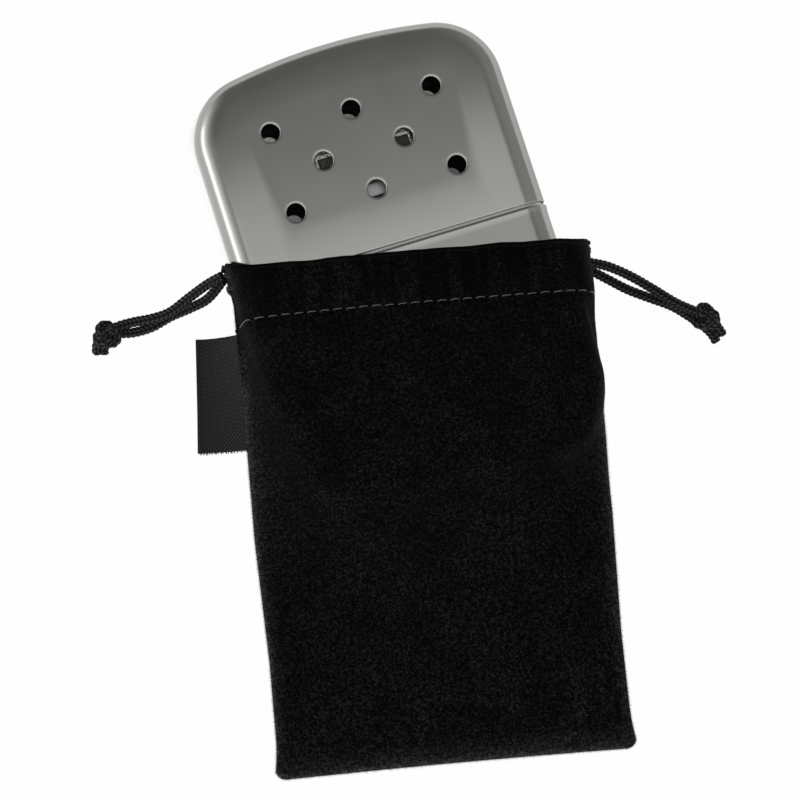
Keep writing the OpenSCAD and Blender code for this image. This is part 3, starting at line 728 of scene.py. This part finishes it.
def panel(is_front, seed):
    """One velvet panel, as the cloth's outer face."""
    samples = FLAT_SAMPLES + EDGE_SAMPLES + 1 + FALL_SAMPLES + len(SEAM_ROLL) - 1
    rays = len(OUTLINE)
    bm = bmesh.new()
    bmesh.ops.create_grid(bm, x_segments=rays + 2 * MOUTH_CURL - 1, y_segments=samples - 1, size=0.5)
    columns = rays + 2 * MOUTH_CURL
    rim_light = bm.verts.layers.float.new("rim")
    for vert in bm.verts:
        column = round((vert.co.x + 0.5) * (columns - 1)) - MOUTH_CURL
        sample = round((vert.co.y + 0.5) * (samples - 1))
        i = min(max(column, 0), rays - 1)
        curl = max(-column, column - rays + 1, 0) / MOUTH_CURL
        u1, v1 = OUTLINE[i]
        rim, spine = seam_place(u1, v1), pouch_at(0, min(v1, SPINE_V))
        s0, s1 = outside(spine), outside(rim)
        s = ray_samples(s0, s1)[sample]
        p = spine + (rim - spine) * (s - s0) / (s1 - s0)
        offset = p - MOUTH_AT
        u, v = offset.dot(ACROSS), offset.dot(DOWN)
        if is_front:
            p = p + hem_shift(u, v1, s, s1)
        edge = (p - rim).length
        # The rim attribute, nearness to the seam, carries a painted sheen in the velvet's colour.
        vert[rim_light] = exp(-edge / 1.1)
        z1 = seam_height(rim)
        wave = waves(u, v, s, edge, seed)
        lift = smooth_hem(v1)
        if is_front:
            stiff = unit((s1 - HUG_R) / 3) * unit((HEM_D + 6 - v1) / 6)
            z = front_height(p, s1, lift, z1 + FABRIC_T, stiff) + (wave if s > 4 else max(wave, -0.5))
            turned = FABRIC_T + SEAT
        else:
            z = back_height(p, s1, z1) + max(0, 0.5 * wave) * min(1, edge / 3)
            turned = -FABRIC_T - SEAT
        roll = sqrt(max(0, 1 - (1 - min(edge, 1.0)) ** 2))
        seam_z = z1 - 0.05
        z = seam_z + (z - seam_z) * roll
        corner = CORNER_DROP[1 if u > 0 else -1] * exp(-(edge / 3) ** 2)
        mouth = (0.3 + 0.35 * fray(u / 8, seed, 3.3)) * exp(-v / 4) + corner * exp(-max(0, v) / 3)
        p = p + DOWN * mouth
        if curl:
            p = p - DOWN * turned * sin(pi * curl) * (1 if is_front else -1) * roll
            z -= turned * (1 - cos(pi * curl)) * roll
        vert.co = (p.x, p.y, z)
    bmesh.ops.remove_doubles(bm, verts=bm.verts, dist=0.004)
    inner = [vert for vert in bm.verts if not vert.is_boundary]
    bmesh.ops.smooth_vert(bm, verts=inner, factor=0.35, use_axis_x=True, use_axis_y=True, use_axis_z=True)
    bmesh.ops.recalc_face_normals(bm, faces=bm.faces)
    middle = min(bm.faces, key=lambda face: (face.calc_center_median().xy - pouch_at(0, 20)).length)
    if (middle.normal.z > 0) != is_front:
        bmesh.ops.reverse_faces(bm, faces=bm.faces)
    return bm


def thicken(piece, thickness):
    """Gives a sheet its thickness on the inner side."""
    wall = piece.modifiers.new("thickness", "SOLIDIFY")
    wall.thickness = thickness * MM
    wall.offset = -1
    return piece


front = make_piece("front_panel", panel(True, 2.7), POUCH, "velvet", ["pouch_front"], outward=False)
back = make_piece("back_panel", panel(False, 8.1), POUCH, "velvet", ["pouch_back"], outward=False)
skins = {}
for side, sheet in (("front", front), ("back", back)):
    skins[side] = BVHTree.FromPolygons([vert.co for vert in sheet.data.vertices],
                                       [face.vertices for face in sheet.data.polygons])
    thicken(sheet, FABRIC_T - 0.1)

# %% [markdown]
# ## The pile's fringe
#
# Velvet has no sharp outline: its pile stands out past the seam. A few thousand short fibres grow from
# the seam line, each at its own angle and length.

# %% Grow the fringe
FRINGE_STEP = 0.11
FRINGE_LENGTH = 0.6
FRINGE_R = 0.05
FRINGE_TIP_R = 0.01
FRINGE_ROOT = 0.15

bm = bmesh.new()
seam_line = [Vector((*seam_place(u, v), seam_height(seam_place(u, v)))) for u, v in OUTLINE if v > 0.5]
for a, b in zip(seam_line, seam_line[1:]):
    along = (b - a).normalized()
    out = Vector((along.y, -along.x, 0))
    for k in range(round((b - a).length / FRINGE_STEP)):
        root = a + along * k * FRINGE_STEP
        wild = [fray(root.x * 9.1, root.y * 9.1, seed) for seed in (1.1, 2.2, 3.3)]
        way = (out + along * 1.6 * wild[0] + Vector((0, 0, 1.4 * wild[1]))).normalized()
        length = FRINGE_LENGTH * (0.6 + 0.9 * abs(wild[2]))
        way.z = max(way.z, (0.1 - root.z) / length)
        middle = Matrix.Translation(root + way * (length / 2 - FRINGE_ROOT))
        bmesh.ops.create_cone(bm, cap_ends=False, segments=3, radius1=FRINGE_R, radius2=FRINGE_TIP_R,
                              depth=length, matrix=middle @ way.to_track_quat("Z", "Y").to_matrix().to_4x4())
# The whole fringe takes the velvet's painted rim sheen.
rim_light = bm.verts.layers.float.new("rim")
for vert in bm.verts:
    vert[rim_light] = 1.0
make_piece("pile_fringe", bm, POUCH, "velvet")

# %% [markdown]
# ## The hem's inner layer
#
# At the mouth the velvet is folded in over the cords and stitched down 10.6 mm below the fold. The
# inner layer is a strip of its own here, which starts inside the fold and ends at the stitches.

# %% Line the hem
LINING_LENGTH, LINING_DEPTH = 90, 22
FRONT_LINING_HALF = CORE_HALF - 1.6
BACK_LINING_HALF = CORE_HALF - 5.4
FRONT_LINING_LEAN = HEM_LEAN + 1.5
BACK_LINING_LEAN = 0.8


def hem_line(x, v):
    """The y of the line v below the mouth's edge, at a given x."""
    return MOUTH_AT.y - tan(POUCH_TURN) * (x - MOUTH_AT.x) - v / cos(POUCH_TURN)


def lining(half, lean, height):
    """A strip between the fold and the stitches, with its height from a place and a share of its depth."""
    bm = bmesh.new()
    bmesh.ops.create_grid(bm, x_segments=LINING_LENGTH, y_segments=LINING_DEPTH, size=0.5)
    for vert in bm.verts:
        x, share = 2 * half * vert.co.x, 0.5 - vert.co.y
        y = hem_line(x, share * HEM_D) - lean
        vert.co = (x, y, height(y, share) + 0.12 * fray(x / 4, share * 3, 6.6) * sin(pi * share))
    return bm


def over_warmer(y, share):
    return underside(y) + WARMER_T - EDGE_R + WRAP_R - 0.03


def over_back_cords(y, share):
    swell = sin(pi * share ** 0.72) ** 0.6
    return 2 * FABRIC_T + SEAT + (CORD_D + 5 * SEAT) * swell * min(1, share / 0.1, (1 - share) / 0.1)


for side, half, lean, height in (("front", FRONT_LINING_HALF, FRONT_LINING_LEAN, over_warmer),
                                 ("back", BACK_LINING_HALF, BACK_LINING_LEAN, over_back_cords)):
    strip = make_piece(side + "_hem_turning", lining(half, lean, height), POUCH, "velvet",
                       [side + "_hem_lining"])
    thicken(strip, FABRIC_T - 0.1)

# %% [markdown]
# ## Lockstitches
#
# One row of grey thread holds the hem: 1.8 mm of thread shows, then it dives for 0.9 mm. Each stitch is
# a short arched sweep. Its place comes from a ray cast at the finished velvet, so the row follows every
# pucker, on the front and on the back.

# %% Sew the hem
STITCH_LENGTH = 1.85
THREAD_R = 0.115
STITCH_SIDES = 8
STITCH_COUNT = 28


def twist(turn, run):
    """Relief of a two-ply thread."""
    return abs(sin(pi * (turn * 2 + run / 0.45)))


def stitch_row(side):
    bm = bmesh.new()
    sky = Vector((0, 0, 60 if side == "front" else -60)) * MM
    look = Vector((0, 0, -1 if side == "front" else 1))
    out = -look.z
    for k in range(STITCH_COUNT):
        u0 = (k - (STITCH_COUNT - 1) / 2) * STITCH_PITCH - STITCH_LENGTH / 2 + 0.12 * fray(k * 1.7, 0, 4.4)
        line = []
        for step in range(7):
            share = step / 6
            wander = 0.08 * fray(k * 1.3, 9, 1.2) - 0.1 * (share - 0.5)
            place = pouch_at(u0 + STITCH_LENGTH * share, HEM_D + wander)
            if side == "front":
                end = seam_place(POUCH_W / 2 if u0 > 0 else -POUCH_W / 2, HEM_D)
                place = place + hem_shift(u0, HEM_D, outside(place), outside(end))
            hit = skins[side].ray_cast(Vector((place.x * MM, place.y * MM, 0)) + sky, look)[0]
            if hit:
                arch = THREAD_R * 0.8 - 0.3 * abs(2 * share - 1) ** 5
                line.append(hit / MM + Vector((0, 0, out * arch)))
        if len(line) == 7:
            sweep(bm, line, THREAD_R, STITCH_SIDES, twist, 0.04)
    return bm


for side in ("front", "back"):
    make_piece(side + "_hem_stitches", stitch_row(side), POUCH, "woven_tab")

# %% [markdown]
# ## The folded tab
#
# A woven twill ribbon, folded once and caught in the left seam, droops from the seam to the surface.
# It is bare. The sheet goes out along the top, round the fold and back underneath, and has the
# thickness of the ribbon only. Its UV map runs along and across the ribbon for the twill's lines.

# %% Fold the tab
TAB_V = 14.5
TAB_L = 24
TAB_W = 8.6
TAB_T = 0.7
RIBBON_T = 0.26
TAB_ACROSS = 40
TAB_FOLD = 8
TAB_ALONG = 70
TAB_FLARE = 1.7
TAB_TILT = 0.9
TAB_CAUGHT = 0.14
FRAYED_ENDS = 30


def tab_place(f, g):
    """Middle of the folded tab, f along the seam and g out from it, with its height above the floor."""
    root = seam_place(-half_at(TAB_V + f * TAB_L), TAB_V + f * TAB_L)
    z0 = seam_height(root) - TAB_T / 2
    p = root - g * (TAB_W - 0.3 + TAB_FLARE * f) * ACROSS - g * TAB_TILT * (1 - 0.5 * f) * DOWN
    sag = 0.12 * sin(pi * f) * g + 0.07 * fray(f * 4, g * 2, 9.9) * g
    return Vector((p.x, p.y, max(0.05, z0 * unit(1 - g) ** 1.6) + TAB_T / 2 + sag))


def caught(step):
    """Share of the tab's width at a step: it starts inside the seam."""
    return (1 + TAB_CAUGHT) * step / TAB_ACROSS - TAB_CAUGHT


bm = bmesh.new()
around = 2 * TAB_ACROSS + TAB_FOLD
bmesh.ops.create_grid(bm, x_segments=TAB_ALONG, y_segments=around, size=0.5, calc_uvs=True)
weave_uv = bm.loops.layers.uv.verify()
half_gap = (TAB_T - RIBBON_T) / 2
for face in bm.faces:
    for loop in face.loops:
        loop[weave_uv].uv = ((loop.vert.co.x + 0.5) * TAB_L, (loop.vert.co.y + 0.5) * 2 * TAB_W)
for vert in bm.verts:
    f, step = vert.co.x + 0.5, (vert.co.y + 0.5) * around
    if step <= TAB_ACROSS:
        vert.co = tab_place(f, caught(step)) + Vector((0, 0, half_gap))
    elif step >= TAB_ACROSS + TAB_FOLD:
        vert.co = tab_place(f, caught(around - step)) - Vector((0, 0, half_gap))
    else:
        angle = pi * (step - TAB_ACROSS) / TAB_FOLD
        end = tab_place(f, 1)
        vert.co = end + Vector((-ACROSS.x * half_gap * sin(angle), -ACROSS.y * half_gap * sin(angle),
                                half_gap * cos(angle)))
tab = thicken(make_piece("ribbon_tab", bm, POUCH, "woven_tab", ["label_tab"]), RIBBON_T - 0.02)
tab.modifiers["thickness"].offset = 0

bm = bmesh.new()
for k in range(FRAYED_ENDS):
    g = (k + 0.5 + 0.4 * fray(k * 2.3, 0, 7.7)) / FRAYED_ENDS
    start = tab_place(1.0, g) + Vector((0, 0, 0.2 * (-1) ** k))
    start.z = max(start.z, 0.12)
    reach = 0.3 + 0.25 * abs(fray(k * 1.9, 3, 7.7))
    aside = 0.35 * fray(k * 3.1, 6, 7.7)
    end = start + reach * Vector((*DOWN, 0)) + aside * Vector((*ACROSS, 0))
    sweep(bm, [start, start.lerp(end, 0.5) + Vector((0, 0, 0.05)), end], 0.09, 6)
make_piece("frayed_thread_ends", bm, POUCH, "woven_tab")

# %% [markdown]
# ## Sums of sockets
#
# A procedural finish is arithmetic on masks and noises. This small class wraps a node's output, so an
# expression such as 0.2 + 0.1 * grain adds the Math nodes by itself. Every other kind of node comes
# from one method, which sets the node's settings first and then its sockets.

# %% Wrap a socket
OPERATIONS = {"add": "ADD", "sub": "SUBTRACT", "mul": "MULTIPLY", "truediv": "DIVIDE", "pow": "POWER"}


class Wire:
    """An output socket that can stand in a sum."""

    def __init__(self, finish, socket):
        self.finish, self.socket = finish, socket

    def math(self, operation, *values):
        return self.finish.node("ShaderNodeMath", {"operation": operation}, dict(enumerate(values)))

    def __neg__(self):
        return self.math("MULTIPLY", self, -1)

    def clamp(self):
        return self.finish.node("ShaderNodeClamp", {}, {"Value": self})

    def over(self, low, high):
        """0 below low, 1 above high, smooth between."""
        return self.finish.node("ShaderNodeMapRange", {"interpolation_type": "SMOOTHSTEP"},
                                {"Value": self, "From Min": low, "From Max": high})


def add_operator(name, operation):
    setattr(Wire, "__" + name + "__", lambda self, other: self.math(operation, self, other))
    setattr(Wire, "__r" + name + "__", lambda self, other: self.math(operation, other, self))


for name, operation in OPERATIONS.items():
    add_operator(name, operation)


class Finish:
    """A material made of nodes."""

    def __init__(self, name, **constants):
        self.material = bpy.data.materials.new(name)
        self.material.use_nodes = True
        self.tree = self.material.node_tree
        self.surface = self.tree.nodes["Principled BSDF"]
        for socket, value in constants.items():
            self.surface.inputs[socket.replace("_", " ")].default_value = value
        self.place = self.node("ShaderNodeVectorMath", {"operation": "SCALE"},
                               {"Vector": self.node("ShaderNodeTexCoord", out="Object"), "Scale": 1 / MM})

    def node(self, kind, settings=None, inputs=None, out=0):
        made = self.tree.nodes.new(kind)
        for name, value in (settings or {}).items():
            if name == "stops":
                ramp = made.color_ramp.elements
                while len(ramp) < len(value):
                    ramp.new(1)
                for stop, (place, shade) in zip(ramp, value):
                    stop.position, stop.color = place, shade
            else:
                setattr(made, name, value)
        for socket, value in (inputs or {}).items():
            self.link(made.inputs[socket], value)
        return Wire(self, made.outputs[out])

    def link(self, socket, value):
        if isinstance(value, Wire):
            self.tree.links.new(value.socket, socket)
        else:
            socket.default_value = value

    def axes(self, vector):
        """The three parts of a vector."""
        split = self.node("ShaderNodeSeparateXYZ", {}, {0: vector}).socket.node
        return [Wire(self, split.outputs[axis]) for axis in "XYZ"]

    def set(self, **values):
        for socket, value in values.items():
            self.link(self.surface.inputs[socket.replace("_", " ")], value)

    def noise(self, scale, detail=2.0, vector=None, kind="Fac"):
        """Noise with a given number of waves in a millimetre."""
        return self.node("ShaderNodeTexNoise", {}, {"Vector": vector or self.place, "Scale": scale,
                                                    "Detail": detail}, kind)

    def mix(self, share, first, second):
        """A blend of two colours."""
        return self.node("ShaderNodeMix", {"data_type": "RGBA"}, {0: share, 6: first, 7: second}, 2)

    def bump(self, height, distance, strength=1.0):
        """A normal from a height, where distance is the relief in millimetres."""
        return self.node("ShaderNodeBump", {},
                         {"Height": height, "Distance": distance * MM, "Strength": strength})


def grey(level):
    return (level, level, level, 1)


print("operators on wires:", ", ".join(OPERATIONS))

# %% [markdown]
# ## Metals
#
# The casing is satin chrome: a bright metal under a fine, even grain, with a few hairline marks from
# being carried. The grain is in the roughness and in a very shallow bump. The rolled edges have painted
# shade below their crest, except along the left edge, which dims the floor's reflection there, and the
# inside has painted shade and a higher roughness; both are told apart by height above the underside.
# The inner parts are plainer plated steel, and the burner is thin stamped steel, tinted by heat.

# %% Finish the metals
# Height and width bands of the painted edge shade, and the bounds of the painted inner shade.
BELOW_CREST, LEFT_EDGE = (9.0, 11.5), (24, 31)
LOW_FACE, HIGH_FACE, INNER_SHADE_END = (0.3, 0.4), (12.3, 12.5), (58, 61)

chrome = Finish("satin chrome", Metallic=1.0)
grain = chrome.noise(9, 3)
cloud = chrome.noise(0.09, 3)
stretched = chrome.node("ShaderNodeMapping", {}, {"Vector": chrome.place, "Rotation": (0, 0, 0.7),
                                                  "Scale": (6, 0.12, 1)})
hairline = chrome.noise(1.0, 1, stretched).over(0.71, 0.76)
spot_x, spot_y, spot_z = chrome.axes(chrome.place)
height = spot_z - REST_Z - tan(TIP) * (spot_y + PARTING_Y)
# Painted shade: the colour of the rolled edges is darkened below their crest, except along the left edge, to
# dim the floor's reflection there.
painted_edge_shade = (1 - height.over(*BELOW_CREST)) * (1 - (-spot_x).over(*LEFT_EDGE))
across_lid, between_faces = spot_x * spot_x, height.over(*LOW_FACE) * (1 - height.over(*HIGH_FACE))
# Painted shade: the inside of the casing, between its faces and away from the side edges and the dome's end, is
# darkened in the colour and made rougher.
painted_inner_shade = (1 - across_lid.over(25 ** 2, 27 ** 2)) * (1 - spot_y.over(*INNER_SHADE_END)) * between_faces
polish = chrome.mix(cloud, (0.355, 0.36, 0.335, 1), (0.39, 0.395, 0.37, 1))
with_painted_edge_shade = chrome.mix(0.68 * painted_edge_shade, polish, grey(0.02))
chrome.set(Base_Color=chrome.mix(painted_inner_shade, with_painted_edge_shade, grey(0.05)),
           Roughness=0.17 + 0.04 * grain + 0.04 * hairline + 0.04 * cloud + 0.4 * painted_inner_shade,
           Normal=chrome.bump(grain + 0.3 * hairline, 0.001, 0.4))

plated = Finish("plated steel", Metallic=1.0)
dull = plated.noise(0.5, 4)
plated.set(Base_Color=plated.mix(dull, grey(0.42), grey(0.6)), Roughness=0.28 + 0.2 * dull,
           Normal=plated.bump(plated.noise(4, 3), 0.01, 0.4))

burner_metal = Finish("stamped burner steel", Metallic=1.0)
heat = burner_metal.noise(0.25, 3)
HEAT_TINTS = [(0.0, (0.6, 0.59, 0.57, 1)), (0.5, (0.5, 0.48, 0.44, 1)), (0.62, (0.4, 0.35, 0.29, 1)),
              (1.0, (0.3, 0.31, 0.36, 1))]
burner_metal.set(Base_Color=burner_metal.node("ShaderNodeValToRGB", {"stops": HEAT_TINTS}, {"Fac": heat}),
                 Roughness=0.22 + 0.25 * burner_metal.noise(1.2, 3),
                 Normal=burner_metal.bump(burner_metal.noise(1.1, 3), 0.3, 0.8))

gauze = Finish("wire gauze", Metallic=0.9)
weft = gauze.node("ShaderNodeTexWave", {"bands_direction": "X"}, {"Vector": gauze.place, "Scale": 1.4})
warp = gauze.node("ShaderNodeTexWave", {"bands_direction": "Z"}, {"Vector": gauze.place, "Scale": 1.4})
gauze.set(Base_Color=gauze.mix(weft * warp, grey(0.15), grey(0.5)), Roughness=0.5 - 0.2 * weft,
          Normal=gauze.bump(weft * warp, 0.15, 0.8))
print("metals:", chrome.material.name, plated.material.name, burner_metal.material.name, gauze.material.name)

# %% [markdown]
# ## Fibres inside the tank
#
# The felt, the cotton and the catalyst's mat are masses of fibre. Two stretched noises crossed give
# the look of matted strands, and the bump carries most of it.

# %% Finish the fibres


def matted(name, dark, light, waves, depth):
    """A fibrous finish with strands in two directions."""
    finish = Finish(name, Roughness=0.95, Sheen_Weight=0.4, Sheen_Roughness=0.5)
    strands = []
    for angle in (0.5, 2.2):
        turned = finish.node("ShaderNodeMapping", {}, {
            "Vector": finish.place, "Rotation": (angle, angle, angle), "Scale": (waves, waves * 0.15, waves)})
        strands.append(finish.noise(1.0, 3, turned))
    height = strands[0] * 0.5 + strands[1] * 0.5
    finish.set(Base_Color=finish.mix(height.over(0.3, 0.7), dark, light), Normal=finish.bump(height, depth))
    return finish


felt = matted("wool felt", (0.55, 0.5, 0.4, 1), (0.8, 0.76, 0.66, 1), 3.0, 0.3)
cotton = matted("cotton wadding", (0.72, 0.71, 0.68, 1), (0.9, 0.9, 0.88, 1), 1.6, 0.6)
catalyst = matted("catalyst fibre", (0.05, 0.05, 0.05, 1), (0.22, 0.21, 0.2, 1), 3.5, 0.35)
print("fibres:", felt.material.name, cotton.material.name, catalyst.material.name)

# %% [markdown]
# ## Black velvet
#
# Velvet is nearly black face-on and lighter where its pile is seen from the side, which is what the
# sheen layer does. On top of that, its colour has painted sheen in a narrow band along the seams and
# on the pile's fringe, painted light that grows towards the pouch's foot, and painted shade in
# stripes along the hem's gathers. Up close it is never even: patches where the pile leans differently,
# a grain of tufts well under a millimetre, and pale flecks of lint. The flecks come from a cell noise:
# only the few cells whose random value is high carry one.

# %% Finish the velvet
BETWEEN_TUFTS, ON_TUFTS, PAINTED_RIM_SHEEN = 0.0013, 0.023, 0.08

velvet = Finish("black velvet", Roughness=1.0, Sheen_Weight=0.04, Sheen_Roughness=0.35,
                Sheen_Tint=grey(0.8), Specular_IOR_Level=0.02)
across_cloth, down_cloth = [velvet.node("ShaderNodeVectorMath", {"operation": "DOT_PRODUCT"},
                                        {0: velvet.place, 1: (way.x, way.y, 0)}, "Value")
                            for way in (ACROSS, DOWN)]
below_mouth = down_cloth - MOUTH_AT.dot(DOWN)
in_hem = 1 - below_mouth.over(11, 20)
# Painted shade: darker stripes along the hem's gathers, which go into shade below.
gathers = velvet.node("ShaderNodeCombineXYZ", {}, {0: across_cloth * 0.34, 1: down_cloth * 0.03})
painted_gather_shade = velvet.noise(1.0, 2, gathers).over(0.4, 0.62)
rim = velvet.node("ShaderNodeAttribute", {"attribute_name": "rim"}, {}, "Fac")
pile = 0.6 * velvet.noise(5.0, 3) + 0.4 * velvet.noise(1.6, 3)
lean = velvet.noise(0.10, 4)
streaks = velvet.noise(0.5, 3)
swirled = velvet.node("ShaderNodeVectorMath", {"operation": "ADD"},
                      {0: velvet.place, 1: velvet.noise(0.7, 2, kind="Color")})
lint = velvet.noise(1.5, 4, swirled).over(0.68, 0.76)
tufts = pile.over(0.46, 0.68)
# Painted light: the velvet grows lighter towards the pouch's foot. shade also holds the random pile lean and
# streaks, and the painted gather shade.
foot = below_mouth.over(30, 110)
shade = (0.45 + 0.6 * lean.over(0.3, 0.75) + 0.35 * foot) * (0.7 + 0.6 * streaks) * (1 - 0.75 * in_hem * painted_gather_shade)
ground = velvet.mix((tufts * shade).clamp(), grey(BETWEEN_TUFTS), grey(ON_TUFTS))
# Painted sheen: lighter along the seams' rolled edges, by the rim attribute, and on the fringe.
with_painted_rim_sheen = velvet.mix(rim * (0.15 + 0.85 * pile.over(0.45, 0.62)), ground, grey(PAINTED_RIM_SHEEN))
velvet.set(Base_Color=velvet.mix(lint * 0.7, with_painted_rim_sheen, (0.045, 0.045, 0.048, 1)),
           Normal=velvet.bump(pile + lint, 0.1, 0.6))
print("velvet is", round(BETWEEN_TUFTS / ON_TUFTS, 3), "as bright between its tufts as on them")

# %% [markdown]
# ## Cord, thread and ribbon
#
# The cord's colour follows the relief attribute that the sweep left on its mesh: painted shade in the
# valleys between the stitches, and a painted highlight on top of each, where a lower roughness gives a
# dull polyester gloss. The thread's colour follows its ply relief the same way, with painted shade in
# its grooves and a painted highlight on its crests. The tab's twill comes from its UV map: thin diagonal
# ribs, with a painted highlight along each rib's crest.

# %% Finish the cord, the thread and the ribbon
braid = Finish("black braided polyester", Specular_IOR_Level=0.2)
relief = braid.node("ShaderNodeAttribute", {"attribute_name": "relief"}, {}, "Fac")
filament = braid.noise(14, 2)
# Painted shade in the braid's valleys and a painted highlight on its stitch tops, from the relief.
braid.set(Base_Color=braid.mix(relief.over(0.35, 0.95), grey(0.0008), grey(0.042)),
          Roughness=0.9 - 0.4 * relief, Normal=braid.bump(filament, 0.03, 0.5))

thread = Finish("grey sewing thread", Roughness=0.6, Sheen_Weight=0.2)
ply = thread.node("ShaderNodeAttribute", {"attribute_name": "relief"}, {}, "Fac")
# Painted shade in the ply's grooves and a painted highlight on its crests, from the relief.
thread.set(Base_Color=thread.mix(ply, grey(0.03), grey(0.12)), Normal=thread.bump(thread.noise(16, 1), 0.02))

twill = Finish("black twill ribbon", Roughness=0.7, Specular_IOR_Level=0.12)
ribbon = twill.node("ShaderNodeTexCoord", out="UV")
slanted = twill.node("ShaderNodeMapping", {}, {"Vector": ribbon, "Rotation": (0, 0, radians(58))})
rib = twill.node("ShaderNodeTexWave", {"wave_profile": "SIN"}, {
    "Vector": slanted, "Scale": 0.72, "Distortion": 0.4, "Detail": 1.0, "Detail Scale": 3.0})
picks = twill.node("ShaderNodeTexWave", {"bands_direction": "Y"}, {"Vector": ribbon, "Scale": 0.8})
# Painted highlight along the twill's rib crests.
twill.set(Base_Color=twill.mix(rib * (0.4 + 0.6 * picks), grey(0.0025), grey(0.046)),
          Normal=twill.bump(rib + 0.4 * picks, 0.08, 0.9))

# %% [markdown]
# ## Giving out the finishes
#
# The new pieces take their finish from the slot that they were made with. The solids that stay as they
# are, all of them inside the warmer, have one material slot each, which is filled the same way.

# %% Assign the materials
FINISHES = {"satin_chrome": chrome, "plated_steel": plated, "gauze": gauze, "felt": felt, "cotton": cotton,
            "burner_steel": burner_metal, "catalyst": catalyst, "velvet": velvet, "woven_tab": twill,
            "braided_cord": braid}
KEPT_SOLIDS = {"tank_collar": "plated_steel", "filler_mouth": "plated_steel", "mouth_gauze": "gauze",
               "wick_felt": "felt", "cotton_wadding": "cotton", "burner_housing": "burner_steel",
               "catalyst_mat": "catalyst", "mat_band": "plated_steel"}

for piece, slot in pieces:
    piece.data.materials.clear()
    piece.data.materials.append((thread if "stitches" in piece.name else FINISHES[slot]).material)
for node, slot in KEPT_SOLIDS.items():
    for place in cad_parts[node].material_slots:
        place.material = FINISHES[slot].material
print(len(pieces), "new pieces and", len(KEPT_SOLIDS), "kept solids have a finish")

# %% [markdown]
# ## Floor and light
#
# The photograph is a pack shot on white. The floor is a pale sheet that glows white for camera and
# mirror rays, so it stays white without more light on the object, and its own shading keeps the contact
# shadow. Under the warmer it doesn't glow, because the vents look down on a dark floor there. The warmer
# mirrors whatever is above it, so the sky is a studio: dim overhead, a little brighter towards the
# pouch's end and the right, and brightest low at the left, where the second soft box stands.

# %% Lay the floor
FLOOR_HALF = 3.0
FLOOR_GLOW = 0.975
FLOOR_SHADE = 0.95

bm = bmesh.new()
bmesh.ops.create_grid(bm, x_segments=1, y_segments=1, size=FLOOR_HALF)
mesh = bpy.data.meshes.new("floor")
bm.to_mesh(mesh)
bm.free()
floor_sheet = bpy.data.objects.new("floor", mesh)
scene.collection.objects.link(floor_sheet)


def shows_background(finish):
    """1 for camera, mirror and glass rays, 0 for the light that falls on things."""
    seen = [finish.node("ShaderNodeLightPath", out=ray) for ray in
            ("Is Camera Ray", "Is Glossy Ray", "Is Transmission Ray")]
    return (seen[0] + seen[1] + seen[2]).clamp()


paper = Finish("white paper", Base_Color=grey(FLOOR_SHADE), Roughness=1.0, Specular_IOR_Level=0.0)
glow = paper.node("ShaderNodeEmission", {}, {"Color": grey(1)})
spot_x, spot_y, _ = paper.axes(paper.place)
beside = (spot_x * spot_x).over(27 ** 2, 34 ** 2) + spot_y.over(64, 73) + (-spot_y).over(-24, -14)
glows = shows_background(paper) * FLOOR_GLOW * beside.clamp()
blended = paper.node("ShaderNodeMixShader", {}, {0: glows, 1: Wire(paper, paper.surface.outputs[0]), 2: glow})
paper.link(paper.tree.nodes["Material Output"].inputs["Surface"], blended)
floor_sheet.data.materials.append(paper.material)
print("floor is", 2 * FLOOR_HALF, "m wide")

# %% Light the studio
SKY_DARK, SKY_BEHIND, SKY_LEFT, SKY_RIGHT = 0.22, 0.62, 1.6, 0.2
LAMPS = {
    "left_softbox": ((-0.6, 0.12, 0.1), (0.0, 0.0, 0.0), (0.7, 0.18), 0.55),
    "overhead_softbox": ((-0.15, -0.385, 1.3), (-0.15, -0.385, 0.0), (1.5, 1.1), 3.2),
}

world = bpy.data.worlds.new("studio")
scene.world = world
world.use_nodes = True
sky = Finish.__new__(Finish)
sky.tree = world.node_tree
along_x, along_y, along_z = sky.axes(sky.node("ShaderNodeTexCoord", out="Generated"))
left_low = (-along_x).over(0.2, 0.9) * (1 - 0.8 * along_z.over(0.1, 0.8))
level = (SKY_DARK + SKY_BEHIND * (-along_y).over(-0.1, 0.7) + SKY_LEFT * left_low
         + SKY_RIGHT * along_x.over(0.2, 0.9))
studio = sky.tree.nodes["Background"]
sky.link(studio.inputs["Color"], sky.node("ShaderNodeCombineColor", {}, {0: level, 1: level, 2: level}))
white = sky.node("ShaderNodeBackground", {}, {"Color": grey(1)})
sky.link(sky.tree.nodes["World Output"].inputs["Surface"], sky.node("ShaderNodeMixShader", {}, {
    0: sky.node("ShaderNodeLightPath", out="Is Camera Ray"), 1: Wire(sky, studio.outputs[0]), 2: white}))

for name, (place, aim, size, power) in LAMPS.items():
    light = bpy.data.lights.new(name, "AREA")
    light.shape = "RECTANGLE"
    light.size, light.size_y = size
    light.energy = power
    lamp = bpy.data.objects.new(name, light)
    lamp.location = place
    lamp.rotation_euler = (Vector(aim) - Vector(place)).to_track_quat("-Z", "Y").to_euler()
    scene.collection.objects.link(lamp)
scene.view_settings.view_transform = "Standard"
print(len(LAMPS), "lamps with", sum(lamp[3] for lamp in LAMPS.values()), "W")
